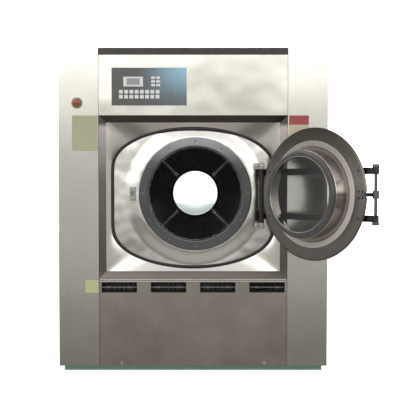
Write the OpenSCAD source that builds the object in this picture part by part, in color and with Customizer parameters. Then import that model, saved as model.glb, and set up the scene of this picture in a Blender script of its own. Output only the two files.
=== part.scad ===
/* [Cabinet] */
// Width of the cabinet
cabinet_w = 1480; // [1340:10:1620]
// Height of the cabinet from the floor to the top cover
cabinet_h = 1780; // [1600:10:1960]
// Depth of the cabinet from the front panels to the rear panel
cabinet_d = 1370; // [1340:10:1600]
// Thickness of the stainless panels
sheet = 2; // [1.5:0.5:3]
// Seam between neighbouring front panels
panel_gap = 2; // [1:0.5:4]
// Depth of the folded edges behind the front panels
fold_d = 30; // [20:5:60]
// Height of the panels' lower edge above the floor
skirt_gap = 30; // [20:5:60]
// Height of the green base rails
base_h = 80; // [60:5:120]
// Distance of the base frame from the cabinet's sides
base_inset = 25; // [10:5:60]
// Width of the base rails
base_rail_w = 80; // [60:5:120]
// Side of the square tubes of the main frame
frame_tube = 50; // [40:2:60]

/* [Front section] */
// Height of the dark trim above the control housing
trim_h = 37; // [20:1:60]
// Depth of the control housing
housing_d = 70; // [50:5:80]
// Width of the mitred strips round the door recess
bezel_w = 38; // [25:1:60]
// Depth to which the mitred strips slope in
bezel_d = 15; // [10:1:20]
// Further depth of the funnel behind the strips
funnel_d = 12.5; // [8:0.5:14]
// Share of the height left beside the recess that is below it
lower_share = 0.5837; // [0.55:0.0001:0.62]
// Room between the hinge axis and the side of the funnel's mouth
mouth_side = 70; // [60:1:80]
// Room between the closed door and the mouth, above and below
mouth_over = 37; // [33:1:42]
// Sheet between the mouth and the strips at the sides
sheet_side = 35; // [30:1:45]
// Sheet between the mouth and the strips above and below
sheet_over = 28; // [25:1:35]
// Squareness of the rounded funnel opening
mouth_n = 3.3; // [2.6:0.1:4]
// Distance of the mouth's middle below the middle of the recess
mouth_drop = 4; // [3:0.5:5]
// Width of the black rubber profile on the funnel edge
seal_w = 15; // [10:1:20]
// Depth of the black rubber profile
seal_d = 10; // [6:1:12]

/* [Controls] */
// Width of the membrane panel
keypad_w = 411; // [360:1:440]
// Height of the membrane panel
keypad_h = 205; // [180:1:240]
// Distance of the membrane panel from the left end of the control housing
keypad_side = 72; // [50:1:100]
// Width of the display frame
lcd_w = 108; // [90:1:120]
// Height of the display frame
lcd_h = 53; // [45:1:60]
// Width of one program key
key_w = 21; // [16:1:24]
// Distance between the program keys
key_pitch = 28.6; // [27:0.1:32]
// Width of one small key
small_key_w = 21; // [14:1:24]
// Diameter of the stop button's head
stop_head_d = 40; // [35:1:45]
// Diameter of the ring under the stop button
stop_ring_d = 60; // [54:1:70]
// Travel of the stop button
stop_travel = 6; // [4:1:8]
// Distance of the stop button from the cabinet's side
stop_side = 104; // [90:1:120]
// Distance of the stop button below the cabinet's top
stop_drop = 301; // [260:1:340]

/* [Lower panel] */
// Width of one air grille
vent_w = 196; // [160:1:220]
// Height of one air grille
vent_h = 57; // [45:1:70]
// Depth of the grille trays
vent_d = 26; // [18:1:40]
// Distance from the recess edge down to the grilles
vent_drop = 22; // [15:1:40]

/* [Tub and drum] */
// Sideways offset of the drum axis
drum_x = 12; // [0:1:15]
// Height of the drum axis above the middle of the funnel's mouth
drum_rise = 22; // [18:1:26]
// Inner diameter of the drum
drum_d = 1080; // [1000:10:1100]
// Length of the drum
drum_l = 620; // [560:10:660]
// Radial room between drum and tub
drum_room = 52; // [40:1:60]
// Thickness of the drum's sheet
drum_t = 4; // [3:0.5:6]
// Thickness of the tub's sheet
tub_t = 5; // [4:0.5:8]
// Radius of the bright disc in the middle of the drum's rear wall
boss_r = 140; // [120:1:160]
// Height of a drum lifter
lifter_h = 95; // [60:1:120]
// Depth by which the middle of the drum's rear wall stands into the drum
dish_d = 180; // [150:5:200]
// Depth of the rear wall at its outer fold
dish_fold = 50; // [40:1:60]
// Width of the rear wall's steep outer band
dish_band = 120; // [90:5:140]
// Width of the clamp ring
clamp_w = 48; // [42:1:54]
// Distance by which the clamp ring's seat stands in front of the funnel's mouth
clamp_seat = 4; // [3:0.5:6]
// Height by which the tub's front panel rises to the clamp ring
dome_h = 38; // [34:1:46]

/* [Door] */
// Outer radius of the door ring
door_r = 345; // [320:1:370]
// Distance from the door ring to the hinge axis
hinge_side = 18; // [17:1:20]
// Distance of the hinge axis in front of the cabinet
hinge_out = 25; // [22:1:32]
// Distance of the door ring behind the hinge axis
door_back = 12; // [10:1:14]
// Angle by which the door stands open
door_open = 133; // [100:1:140]
// Depth of the door's cone
cone_d = 84; // [60:1:90]
// Width of the door ring from its edge to the cone
flange_w = 98; // [90:1:104]
// Radial slope of the cone
cone_slope = 22; // [15:1:30]
// Width of the rim that holds the glass
rim_w = 31; // [27:1:36]
// Thickness of the door glass
glass_t = 10; // [8:1:15]
// Radius of the hinge pin
hinge_pin_r = 8; // [6:0.5:9]
// Width and height of the door sensor
sensor_w = 22; // [18:1:26]
// Distance from the door ring's edge to the latch rod
rod_side = 29; // [27:1:34]

/* [Suspension and drive] */
// Diameter of a suspension spring over its wire
spring_d = 92; // [80:1:100]
// Diameter of the spring wire
spring_wire = 14; // [10:1:16]
// Free height between the spring seats
spring_h = 120; // [110:1:130]
// Height of the webs that join the spring arms to the tub
web_h = 176; // [150:2:200]
// Distance from a spring's middle to the end of the web above its arm
web_end = 120; // [80:5:140]
// Number of turns in each spring
spring_turns = 5; // [4:1:6]
// Height of the springs' lower seats
spring_z = 440; // [410:5:470]
// Distance of the springs' middle from the inner side of the frame
spring_side = 36; // [30:1:42]
// Radius of the main shaft
shaft_r = 60; // [50:1:70]
// Radius of the drum pulley over its belts' seat
pulley_r = 320; // [280:5:330]
// Radius of the motor pulley over its belts' seat
motor_pulley_r = 80; // [70:5:100]
// Radius of the drive motor
motor_r = 135; // [110:5:140]
// Number of belts
belt_n = 4; // [3:1:5]
// Distance between neighbouring belts
belt_pitch = 22; // [20:1:26]
// Sideways distance from the drum axis to the motor
motor_side = 400; // [380:5:440]
// Length of the drive motor
motor_l = 330; // [280:5:360]
// Radius of the bearing housing's plate
bearing_r = 330; // [280:5:360]
// Length of the bearing housing
bearing_l = 165; // [150:5:190]
// Radial height of the shaft's bearings
bearing_h = 42; // [36:1:46]
// Distance from the tub's back to the drum pulley
pulley_back = 230; // [220:5:260]

/* [Connections] */
// Height of the water inlets and the cable gland below the top
inlet_drop = 140; // [110:5:200]
// Distance of the outer water inlet from the side
inlet_side = 220; // [180:5:260]
// Length of a water valve inside the cabinet
inlet_in = 120; // [100:5:150]
// Length of a water inlet's tail outside the cabinet
inlet_out = 35; // [25:1:50]
// Distance between the water inlets
inlet_pitch = 100; // [80:5:120]
// Distance of the cable gland from the side
gland_side = 180; // [140:5:220]
// Radius of the exhaust stub
steam_r = 70; // [55:1:85]
// Distance of the exhaust stub from the right side
steam_side = 300; // [250:5:350]
// Distance of the exhaust stub from the rear
steam_back = 220; // [180:5:260]
// Height of the exhaust stub above the top cover
steam_h = 90; // [60:5:120]
// Place of the drain across the cabinet
drain_x = -110; // [-120:1:-90]
// Height of the drain
drain_z = 190; // [175:5:210]
// Radius of the drain pipe
drain_r = 55; // [45:1:60]
// Height of the electrical box
box_h = 220; // [180:5:260]
// Depth of the electrical box
box_d = 210; // [160:5:230]

/* [Hidden] */
$fn = 96;
run = 0.3;
front_y = -cabinet_d / 2;
rear_y = cabinet_d / 2;
half_w = cabinet_w / 2;
trim_z = cabinet_h - trim_h;
clamp_r = door_r - 34;
clamp_bore_r = clamp_r - clamp_w;
clamp_bolt_r = clamp_r - 22;
drum_mouth_r = clamp_bore_r - 6;
hinge_x = door_r + hinge_side;
latch_x = door_r;
rod_x = door_r + rod_side;
cone_r = door_r - flange_w;
rim_r = cone_r - cone_slope;
glass_r = rim_r - rim_w;
mouth_a = drum_x + hinge_x + mouth_side;
mouth_b = door_r + mouth_over;
dome_r = mouth_b + 18;
centre_w = mouth_a + sheet_side + bezel_w;
column_w = half_w - centre_w - panel_gap;
recess_h = 2 * (mouth_b + sheet_over + bezel_w);
recess_z = lower_share * (cabinet_h - recess_h);
recess_top = recess_z + recess_h;
housing_z = recess_top + run;
housing_top = trim_z - panel_gap;
mouth_z = recess_z + recess_h / 2 - mouth_drop;
drum_z = mouth_z + drum_rise;
bezel_y = front_y + bezel_d;
mouth_y = bezel_y + funnel_d;
recess_w = centre_w - bezel_w;
recess_lo = recess_z + bezel_w;
recess_hi = recess_top - bezel_w;
hinge_y = front_y - hinge_out;
door_y = hinge_y + door_back;
arm_y = door_y - 26.3;
rod_y = arm_y - 11;
gasket_t = 8;
clamp_y = door_y + gasket_t + 0.5;
dome_y = mouth_y - clamp_seat;
clamp_t = dome_y - clamp_y;
flat_y = dome_y + dome_h;
tub_r = drum_d / 2 + drum_t + drum_room;
tub_y = flat_y + 24;
drum_y = tub_y + 20;
drum_back = drum_y + drum_l;
tub_back = drum_back + 60;
neck_r = clamp_bore_r + 10;
lower_top = recess_z - panel_gap;
vent_top = lower_top - vent_drop + 2;
vent_x = centre_w - vent_w / 2 - 12;
vent_xs = [-vent_x, -vent_x / 3, vent_x / 3, vent_x];
vent_z = vent_top - vent_h / 2;
screw_x = vent_x - 13;
post_x = half_w - sheet - frame_tube - run;
post_front = front_y + fold_d + 5;
post_rear = rear_y - sheet - frame_tube - run;
hinge_lo = drum_z - 190;
hinge_hi = drum_z + 168;
lug_h = 32;
lug_zs = [hinge_lo, hinge_hi - lug_h];
hinge_ax = drum_x + hinge_x;
pulley_y = tub_back + pulley_back;
pulley_w = belt_n * belt_pitch + 14;
motor_x = drum_x + motor_side;
motor_z = base_h + motor_r + 21;
motor_dz = motor_z - drum_z;
motor_back = pulley_y - pulley_w / 2 - 30;
spring_x = post_x - drum_x - spring_side;
bearing_ys = [tub_back + 45, tub_back + bearing_l - 25];
spring_ys = [tub_y + 110, tub_back - 60];
seat_z = spring_z + spring_h;
stop_x = stop_side - half_w;
stop_z = cabinet_h - stop_drop;
stop_face = front_y - 18 - stop_travel;
keypad_x = keypad_side + keypad_w / 2 - centre_w;
keypad_z = housing_z + 0.474 * (housing_top - housing_z);
inlet_z = cabinet_h - inlet_drop;
inlet_xs = [for (i = [0 : 2]) inlet_side + i * inlet_pitch - half_w];
gland_x = half_w - gland_side;
steam_x = half_w - steam_side;
steam_y = rear_y - steam_back;
arm_zs = [118, -118];
arm_h = 34;
latch_r = 9;

// A box from its lowest to its highest corner
module block(lo, hi) {
    translate(lo) cube(hi - lo);
}

// Turns a revolved shape so that its axis runs along Y, with local Z pointing to the back
module along_y(x, y, z) {
    translate([x, y, z]) rotate([-90, 0, 0]) children();
}

// A flat ring or tube along Y from y_lo to y_hi
module y_tube(y_lo, y_hi, r_out, r_in) {
    along_y(0, y_lo, 0) difference() {
        cylinder(h = y_hi - y_lo, r = r_out);
        translate([0, 0, -1]) cylinder(h = y_hi - y_lo + 2, r = r_in);
    }
}

// Moves a shape from the drum axis to its place in the cabinet
module on_drum_axis() {
    translate([drum_x, 0, drum_z]) children();
}

// Swings a piece of the closed door to where the door stands open
module opened() {
    translate([hinge_ax, hinge_y, 0]) rotate([0, 0, door_open])
        translate([-hinge_ax, -hinge_y, 0]) children();
}

// Points of the rounded mouth outline, grown by a margin
function mouth_point(t, grow) = [
    (mouth_a + grow) * sign(cos(t)) * pow(abs(cos(t)), 2 / mouth_n),
    (mouth_b + grow) * sign(sin(t)) * pow(abs(sin(t)), 2 / mouth_n)
];
mouth_steps = 96;
function mouth_outline(grow) =
    [for (i = [0 : mouth_steps - 1]) mouth_point((i + 0.5) * 360 / mouth_steps, grow)];

module mouth_prism(y_lo, y_hi, grow) {
    translate([0, y_hi, mouth_z]) rotate([90, 0, 0])
        linear_extrude(y_hi - y_lo) polygon(mouth_outline(grow));
}

// Cabinet structure

module base_frame() {
    x = half_w - base_inset;
    y = cabinet_d / 2 - fold_d - run;
    color("seagreen") difference() {
        block([-x, -y, 0], [x, y, base_h]);
        for (side = [-1, 1]) {
            mid = side * (y / 2 - base_rail_w / 4);
            half = (y - 1.5 * base_rail_w) / 2;
            block([-x + base_rail_w, mid - half, -1], [x - base_rail_w, mid + half, base_h + 1]);
        }
    }
}

module main_frame() {
    top = cabinet_h - sheet - run;
    rail_z = spring_z - frame_tube;
    color("dimgray") union() {
        for (side = [-1, 1]) {
            x = side > 0 ? post_x : -post_x - frame_tube;
            for (y = [post_front, post_rear])
                block([x, y, base_h], [x + frame_tube, y + frame_tube, top]);
            block([x, post_front, rail_z], [x + frame_tube, post_rear + 1, spring_z]);
            block([x, post_front, top - frame_tube], [x + frame_tube, post_rear + 1, top]);
            for (y = spring_ys) {
                inner = side > 0 ? drum_x + spring_x - spring_d / 2 - 8 : x;
                outer = side > 0 ? x + frame_tube : drum_x - spring_x + spring_d / 2 + 8;
                block([inner, y - spring_d / 2 - 8, spring_z - 12],
                    [outer, y + spring_d / 2 + 8, spring_z]);
            }
        }
        for (y = [front_y + housing_d + 2 * run, post_rear])
            block([-post_x - 1, y, top - frame_tube], [post_x + 1, y + frame_tube, top]);
    }
}

// Folded front column with its edge returns
module column(side) {
    x_in = centre_w + panel_gap;
    mirror([side < 0 ? 1 : 0, 0, 0]) difference() {
        block([x_in, front_y, skirt_gap], [half_w, front_y + fold_d, cabinet_h - sheet - run]);
        block([x_in + sheet, front_y + sheet, skirt_gap - 1],
            [half_w - sheet, front_y + fold_d + 1, cabinet_h]);
    }
}

module left_column() {
    color("gainsboro") difference() {
        column(-1);
        along_y(stop_x, front_y - 1, stop_z) cylinder(h = sheet + 2, r = 15);
    }
}

module right_column() {
    color("gainsboro") column(1);
}

module side_panel() {
    x = half_w;
    y_lo = front_y + fold_d + panel_gap;
    difference() {
        block([x - fold_d, y_lo, skirt_gap], [x, rear_y - sheet - run, cabinet_h - sheet - run]);
        block([x - fold_d - 1, y_lo + sheet, skirt_gap + sheet],
            [x - sheet, rear_y - 2 * sheet - run, cabinet_h - 2 * sheet - run]);
        block([x - fold_d - 1, y_lo - 1, skirt_gap - 1],
            [x - sheet, rear_y, base_h + 2]);
        block([x - fold_d - 1, y_lo - 1, cabinet_h - 40], [x - sheet, rear_y, cabinet_h]);
        block([x - fold_d - 1, post_front - 1, base_h],
            [x - sheet, post_front + frame_tube + 2, cabinet_h]);
        block([x - fold_d - 1, post_rear - 2, base_h], [x - sheet, rear_y, cabinet_h]);
        for (row = [0 : 7])
            block([x - sheet - 1, rear_y - 420, cabinet_h - 540 + row * 30],
                [x + 1, rear_y - 220, cabinet_h - 532 + row * 30]);
    }
}

module right_side_panel() {
    color("silver") side_panel();
}

module left_side_panel() {
    color("silver") mirror([1, 0, 0]) side_panel();
}

module top_cover() {
    color("silver") difference() {
        union() {
            block([-half_w, front_y + fold_d + run, cabinet_h - sheet],
                [half_w, rear_y, cabinet_h]);
            for (side = [-1, 1]) {
                x = side > 0 ? centre_w + panel_gap : -half_w;
                block([x, front_y, cabinet_h - sheet],
                    [x + column_w, front_y + fold_d + 1, cabinet_h]);
            }
        }
        translate([steam_x, steam_y, cabinet_h - sheet - 1])
            cylinder(h = sheet + 2, r = steam_r + 2);
    }
}

module top_trim() {
    color([0.17, 0.15, 0.14]) difference() {
        block([-centre_w, front_y, trim_z], [centre_w, front_y + fold_d, cabinet_h]);
        block([-centre_w + sheet, front_y + sheet, trim_z - 1],
            [centre_w - sheet, front_y + fold_d + 1, cabinet_h - sheet]);
    }
}

module control_housing() {
    cut_x = keypad_w / 2 - 12;
    cut_z = keypad_h / 2 - 12;
    color("gainsboro") difference() {
        block([-centre_w, front_y, housing_z], [centre_w, front_y + housing_d, housing_top]);
        block([-centre_w + sheet, front_y + sheet, housing_z + sheet],
            [centre_w - sheet, front_y + housing_d + 1, housing_top - sheet]);
        block([keypad_x - cut_x, front_y - 1, keypad_z - cut_z],
            [keypad_x + cut_x, front_y + sheet + 1, keypad_z + cut_z]);
    }
}

module rear_panel() {
    color("silver") difference() {
        block([-half_w, rear_y - sheet, skirt_gap], [half_w, rear_y, cabinet_h - sheet - run]);
        for (column = [-1, 1])
            for (row = [0 : 9])
                block([column * 330 - 150, rear_y - sheet - 1, cabinet_h - 600 + row * 34],
                    [column * 330 + 150, rear_y + 1, cabinet_h - 590 + row * 34]);
        for (x = inlet_xs)
            along_y(x, rear_y - sheet - 1, inlet_z) cylinder(h = sheet + 2, r = 22);
        along_y(drain_x, rear_y - sheet - 1, drain_z) cylinder(h = sheet + 2, r = drain_r + run);
        along_y(gland_x, rear_y - sheet - 1, inlet_z) cylinder(h = sheet + 2, r = 17);
    }
}

module lower_front_panel() {
    color([0.5, 0.47, 0.44]) difference() {
        block([-centre_w, front_y, skirt_gap], [centre_w, front_y + fold_d, lower_top]);
        block([-centre_w + sheet, front_y + sheet, skirt_gap - 1],
            [centre_w - sheet, front_y + fold_d + 1, lower_top - sheet]);
        for (x = vent_xs)
            block([x - vent_w / 2, front_y - 1, vent_z - vent_h / 2],
                [x + vent_w / 2, front_y + sheet + 1, vent_z + vent_h / 2]);
        for (side = [-1, 1])
            along_y(side * screw_x, front_y - 1, skirt_gap + 13) cylinder(h = sheet + 2, r = 4);
    }
}

// Front recess

// Sloping strip along one side of the recess, cut at 45 degrees at both ends
module bezel_strip(half_len, edge) {
    t = 3;
    rotate([90, 0, 90]) translate([0, 0, -half_len]) linear_extrude(2 * half_len)
        polygon([[front_y, edge], [front_y + bezel_d, edge - bezel_w],
            [front_y + bezel_d + t, edge - bezel_w], [front_y + bezel_d + t, edge - bezel_w + t],
            [front_y + t + fold_d, edge - t], [front_y + t + fold_d, edge]]);
}

module mitred(half_len, half_other) {
    intersection() {
        children();
        translate([0, front_y - 1, 0]) rotate([-90, 0, 0]) linear_extrude(fold_d + 20)
            polygon([[-half_len + 0.3, -half_other - 0.5], [half_len - 0.3, -half_other - 0.5],
                [half_len - 0.3 - 1.2 * bezel_w, -half_other + 1.2 * bezel_w],
                [-half_len + 0.3 + 1.2 * bezel_w, -half_other + 1.2 * bezel_w]]);
    }
}

module bezel_strips() {
    half_h = (recess_top - recess_z) / 2;
    mid_z = (recess_top + recess_z) / 2;
    color([0.33, 0.31, 0.3]) translate([0, 0, mid_z]) {
        mitred(centre_w, half_h) bezel_strip(centre_w, half_h);
        mirror([0, 0, 1]) mitred(centre_w, half_h) bezel_strip(centre_w, half_h);
        rotate([0, 90, 0]) mitred(half_h, centre_w) bezel_strip(half_h, centre_w);
        rotate([0, -90, 0]) mitred(half_h, centre_w) bezel_strip(half_h, centre_w);
    }
}

// Point of the rectangle inside the strips that faces the same way as a mouth point
function frame_point(t) =
    let (p = mouth_point(t, 0), w = recess_w - run, z_mid = (recess_hi + recess_lo) / 2,
        h = (recess_hi - recess_lo) / 2 - run, u = p[0] / mouth_a, v = p[1] / mouth_b,
        k = 1 / max(abs(u), abs(v)))
    [u * k * w, v * k * h + z_mid];

// Sheet lofted from the rectangle inside the strips to the rounded mouth
module funnel_panel() {
    t = sheet;
    n = mouth_steps;
    angles = [for (i = [0 : n - 1]) i * 360 / n];
    rim = [for (a = angles) frame_point(a)];
    hole = [for (a = angles) mouth_point(a, seal_w / 2)];
    points = concat(
        [for (p = rim) [p[0], bezel_y + run, p[1]]],
        [for (p = hole) [p[0], mouth_y, p[1] + mouth_z]],
        [for (p = hole) [p[0], mouth_y + t, p[1] + mouth_z]],
        [for (p = rim) [p[0], bezel_y + run + t, p[1]]]);
    faces = [for (band = [0 : 3]) for (i = [0 : n - 1]) for (half = [0, 1])
        let (a = band * n + i, b = band * n + (i + 1) % n,
            c = ((band + 1) % 4) * n + i, d = ((band + 1) % 4) * n + (i + 1) % n)
        half == 0 ? [a, c, b] : [b, c, d]];
    color("lightgray") polyhedron(points, faces);
}

// Rubber profile that lines the edge of the funnel
module seal_strip() {
    color([0.07, 0.07, 0.07]) difference() {
        mouth_prism(mouth_y - seal_d / 2, mouth_y + seal_d / 2, seal_w / 2 - run);
        mouth_prism(mouth_y - seal_d, mouth_y + seal_d, -seal_w / 2);
    }
}

// Controls

module keypad_panel() {
    t = 3;
    color([0.27, 0.28, 0.3]) difference() {
        union() {
            block([keypad_x - keypad_w / 2, front_y - t, keypad_z - keypad_h / 2],
                [keypad_x + keypad_w / 2, front_y - run / 3, keypad_z + keypad_h / 2]);
            block([keypad_x - keypad_w / 2 + 16, front_y - 1, keypad_z - keypad_h / 2 + 16],
                [keypad_x + keypad_w / 2 - 16, front_y + 45, keypad_z + keypad_h / 2 - 16]);
        }
        block([lcd_x - lcd_w / 2 - run, front_y - t - 1, lcd_z - lcd_h / 2 - run],
            [lcd_x + lcd_w / 2 + run, front_y + 4, lcd_z + lcd_h / 2 + run]);
        for (p = program_places) key_pocket(p, key_w, key_w * 0.95);
        for (p = function_places) key_pocket(p, small_key_w, 13);
    }
}

lcd_x = keypad_x - 87;
lcd_z = keypad_z + 27;
program_places = [for (row = [0, 1]) for (i = [0 : 7])
    [keypad_x - 154 + i * key_pitch, keypad_z - 28 - row * 27]];
function_places = [for (column = [0, 1]) for (row = [0 : 2])
    [keypad_x + 22 + column * 28, keypad_z + 48 - row * 20]];

module key_pocket(p, w, h) {
    block([p[0] - w / 2 - run, front_y - 4, p[1] - h / 2 - run],
        [p[0] + w / 2 + run, front_y - 1.8, p[1] + h / 2 + run]);
}

module key_cap(p, w, h) {
    block([p[0] - w / 2, front_y - 3.6, p[1] - h / 2],
        [p[0] + w / 2, front_y - 1.8, p[1] + h / 2]);
}

module lcd_window() {
    color([0.87, 0.88, 0.86]) difference() {
        block([lcd_x - lcd_w / 2, front_y - 3.8, lcd_z - lcd_h / 2],
            [lcd_x + lcd_w / 2, front_y + 3.7, lcd_z + lcd_h / 2]);
        block([lcd_x - lcd_w / 3, front_y - 5, lcd_z - lcd_h / 3],
            [lcd_x + lcd_w / 3, front_y - 2.5, lcd_z + lcd_h / 3]);
    }
}

module program_keys() {
    color("whitesmoke") for (p = program_places) key_cap(p, key_w, key_w * 0.95);
}

module function_keys() {
    color("whitesmoke") for (p = function_places) key_cap(p, small_key_w, 13);
}

module stop_ring() {
    color([0.62, 0.6, 0.45]) along_y(stop_x, front_y - 12, stop_z) rotate_extrude()
        polygon([[12, 0], [24, 0], [stop_ring_d / 2, 9], [stop_ring_d / 2, 12 - run],
            [14.5, 12 - run], [14.5, 50], [12, 50]]);
}

module stop_stem() {
    color("dimgray") along_y(stop_x, stop_face, stop_z) cylinder(h = 66, r = 11.5);
}

module stop_button() {
    r = stop_head_d / 2;
    color("firebrick") along_y(stop_x, stop_face - run, stop_z) mirror([0, 0, 1])
        rotate_extrude() polygon([[0, 0], [r - 6, 0], [r - 2, 3], [r, 8], [r - 1, 12],
            [r - 6, 16], [r - 12, 18], [0, 18.6]]);
}

// Lower grilles and screws

module vent_trays() {
    t = 2;
    color([0.06, 0.06, 0.06]) for (x = vent_xs) difference() {
        union() {
            block([x - vent_w / 2 + run, front_y - 1, vent_z - vent_h / 2 + run],
                [x + vent_w / 2 - run, front_y + vent_d, vent_z + vent_h / 2 - run]);
            block([x - vent_w / 2 + run, front_y - 1.5, vent_z - vent_h / 2 + run],
                [x + vent_w / 2 - run, front_y, vent_z + vent_h / 2 - run]);
        }
        block([x - vent_w / 2 + 4, front_y - 3, vent_z - vent_h / 2 + 4],
            [x + vent_w / 2 - 4, front_y + vent_d - t, vent_z + vent_h / 2 - 4]);
        for (i = [-3 : 3])
            block([x + i * 24 - 8, front_y, vent_z - 15],
                [x + i * 24 + 8, front_y + vent_d + 1, vent_z - 8]);
        for (i = [-3 : 3])
            block([x + i * 24 - 8, front_y, vent_z + 8],
                [x + i * 24 + 8, front_y + vent_d + 1, vent_z + 15]);
    }
}

module vent_bars() {
    r = 4.5;
    half = vent_w / 2 - 4;
    color("darkgray") for (x = vent_xs) union() {
        translate([x - half + run / 3, front_y + 8, vent_z]) rotate([0, 90, 0])
            cylinder(h = 2 * half - run, r = r, $fn = 32);
        for (side = [-1, 1]) translate([x + side * vent_w * 0.29 - 9, front_y + 8, vent_z])
            rotate([0, 90, 0]) cylinder(h = 18, r = r + 3.5, $fn = 32);
    }
}

module panel_screws() {
    color("silver") for (side = [-1, 1]) {
        along_y(side * screw_x, front_y - 4, skirt_gap + 13) union() {
            cylinder(h = 4 - run / 3, r = 8);
            cylinder(h = 18, r = 3.5);
        }
    }
}

// Connections on the back and the top

module water_inlets() {
    color("goldenrod") for (x = inlet_xs) along_y(x, rear_y - inlet_in, inlet_z) difference() {
        union() {
            cylinder(h = inlet_in + inlet_out, r = 16.5);
            cylinder(h = inlet_in - 30, r = 30);
            translate([0, 0, inlet_in + run / 3]) cylinder(h = 14, r = 28, $fn = 6);
        }
        translate([0, 0, inlet_in / 2]) cylinder(h = inlet_in, r = 12);
    }
}

module steam_inlet() {
    depth = 60;
    color("lightgray") translate([steam_x, steam_y, cabinet_h - depth]) difference() {
        union() {
            cylinder(h = depth + steam_h, r = steam_r);
            translate([0, 0, depth + run / 3]) cylinder(h = 4, r = steam_r + 25);
        }
        translate([0, 0, 20]) cylinder(h = depth + steam_h, r = steam_r - 4);
    }
}

module drain_outlet() {
    color("gray") along_y(drain_x, rear_y - 160, drain_z) difference() {
        union() {
            cylinder(h = 230, r = drain_r);
            translate([0, 0, 216]) cylinder(h = 14, r = drain_r + 5);
        }
        translate([0, 0, 10]) cylinder(h = 230, r = drain_r - 4);
    }
}

module cable_gland() {
    color([0.1, 0.1, 0.1]) along_y(gland_x, rear_y - 20, inlet_z) difference() {
        union() {
            cylinder(h = 50, r = 16);
            translate([0, 0, 20 + run / 3]) cylinder(h = 10, r = 22, $fn = 6);
            translate([0, 0, 30]) cylinder(h = 18, r = 18);
        }
        translate([0, 0, -1]) cylinder(h = 60, r = 10);
    }
}

module electrical_box() {
    z_lo = inlet_z - box_h - 90;
    x_lo = -post_x - frame_tube;
    x_hi = inlet_xs[2] - 10;
    color("beige") difference() {
        block([x_lo, post_rear - box_d - run, z_lo], [x_hi, post_rear - run, z_lo + box_h]);
        block([x_lo + 15, post_rear - box_d - 2, z_lo + 15],
            [x_hi - 15, post_rear - box_d + 4, z_lo + box_h - 15]);
    }
}

// Tub

module tub_shell() {
    color("silver") on_drum_axis() union() {
        y_tube(tub_y + tub_t + run / 3, tub_back, tub_r, tub_r - tub_t);
        y_tube(tub_back - tub_t, tub_back, tub_r, shaft_r + 12);
    }
}

// Front plate of the tub with the neck that carries the clamp ring
module tub_front_plate() {
    color("silver") on_drum_axis() union() {
        y_tube(tub_y, tub_y + tub_t, tub_r, neck_r);
        y_tube(dome_y + run, tub_y + tub_t, neck_r + tub_t, neck_r);
    }
}

// Profile of the front panel's rise from its flat edge to the clamp ring
function rise(r) =
    let (k = min(1, max(0, (r - clamp_r) / (dome_r - clamp_r)))) dome_h * (1 - cos(180 * k)) / 2;
rise_bands = 6;
rise_radii = [for (i = [0 : rise_bands]) clamp_r + (dome_r - clamp_r) * i / rise_bands];

// Front panel of the tub, flat outside and rising smoothly to the clamp ring
module tub_front_panel() {
    inner = neck_r + tub_t + run;
    t = 3;
    front = concat([[inner, 0]], [for (r = rise_radii) [r, rise(r)]]);
    back = concat([[dome_r, dome_h + t]],
        [for (i = [rise_bands - 1 : -1 : 0]) [rise_radii[i] - 1.5, rise(rise_radii[i]) + t]], [[inner, t]]);
    color("whitesmoke") union() {
        difference() {
            on_drum_axis() along_y(0, dome_y, 0) rotate_extrude() polygon(concat(front, back));
            hinge_posts(-8, run);
            catch_post(-8, run);
        }
        difference() {
            mouth_prism(flat_y, flat_y + t, 55);
            on_drum_axis() along_y(0, flat_y - 1, 0) cylinder(h = t + 2, r = dome_r);
            hinge_posts(-8, run);
        }
    }
}

module clamp_ring() {
    color([0.3, 0.32, 0.34]) on_drum_axis() along_y(0, clamp_y, 0) difference() {
        rotate_extrude() polygon([[clamp_bore_r, 3], [clamp_bore_r + 3, 0],
            [clamp_r - 5, 0], [clamp_r, 4], [clamp_r, clamp_t - run / 3],
            [clamp_bore_r, clamp_t - run / 3]]);
        for (a = [0 : 30 : 359]) rotate([0, 0, a]) translate([clamp_bolt_r, 0, -1])
            cylinder(h = clamp_t + 2, r = 5.5, $fn = 24);
    }
}

module ring_bolts() {
    color("gray") on_drum_axis() for (a = [0 : 30 : 359])
        translate([clamp_bolt_r * cos(a), 0, clamp_bolt_r * sin(a)]) along_y(0, clamp_y - 4.1, 0)
            union() {
                cylinder(h = 4, r = 8, $fn = 24);
                cylinder(h = clamp_t + 3.5, r = 5, $fn = 24);
            }
}

// Posts that carry the hinge from the tub's front plate through the cosmetic panel
module hinge_posts(front, grow) {
    for (z = lug_zs)
        block([hinge_ax - 38 - grow, dome_y + front, z - grow],
            [hinge_ax + 16 + grow, tub_y - 0.1, z + lug_h + grow]);
}

module hinge_bracket() {
    color("lightgray") difference() {
        union() {
            hinge_posts(4, 0);
            for (z = lug_zs) {
                block([hinge_ax - 38, hinge_y, z], [hinge_ax + 16, dome_y + 6, z + lug_h]);
                translate([hinge_ax, hinge_y, z]) cylinder(h = lug_h, r = 16);
            }
        }
        translate([hinge_ax, hinge_y, 0]) cylinder(h = cabinet_h, r = hinge_pin_r + 0.05);
        for (z = lug_zs)
            block([hinge_ax - 60, hinge_y - 20, z - 1],
                [hinge_ax - 16.2, door_y + 19, z + lug_h + 1]);
    }
}

module hinge_pin() {
    color("gray") translate([hinge_ax, hinge_y, hinge_lo - 4]) union() {
        cylinder(h = hinge_hi - hinge_lo + 5, r = hinge_pin_r);
        translate([0, 0, hinge_hi - hinge_lo + 4 + run / 3])
            cylinder(h = 6, r = hinge_pin_r + 5);
    }
}

// Block that carries the catch from the tub's front plate through the cosmetic panel
module catch_post(front, grow) {
    x = drum_x - latch_x;
    block([x - 16 - grow, dome_y + front, drum_z - 36 - grow],
        [x + 16 + grow, tub_y - 0.1, drum_z + 36 + grow]);
}

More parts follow.
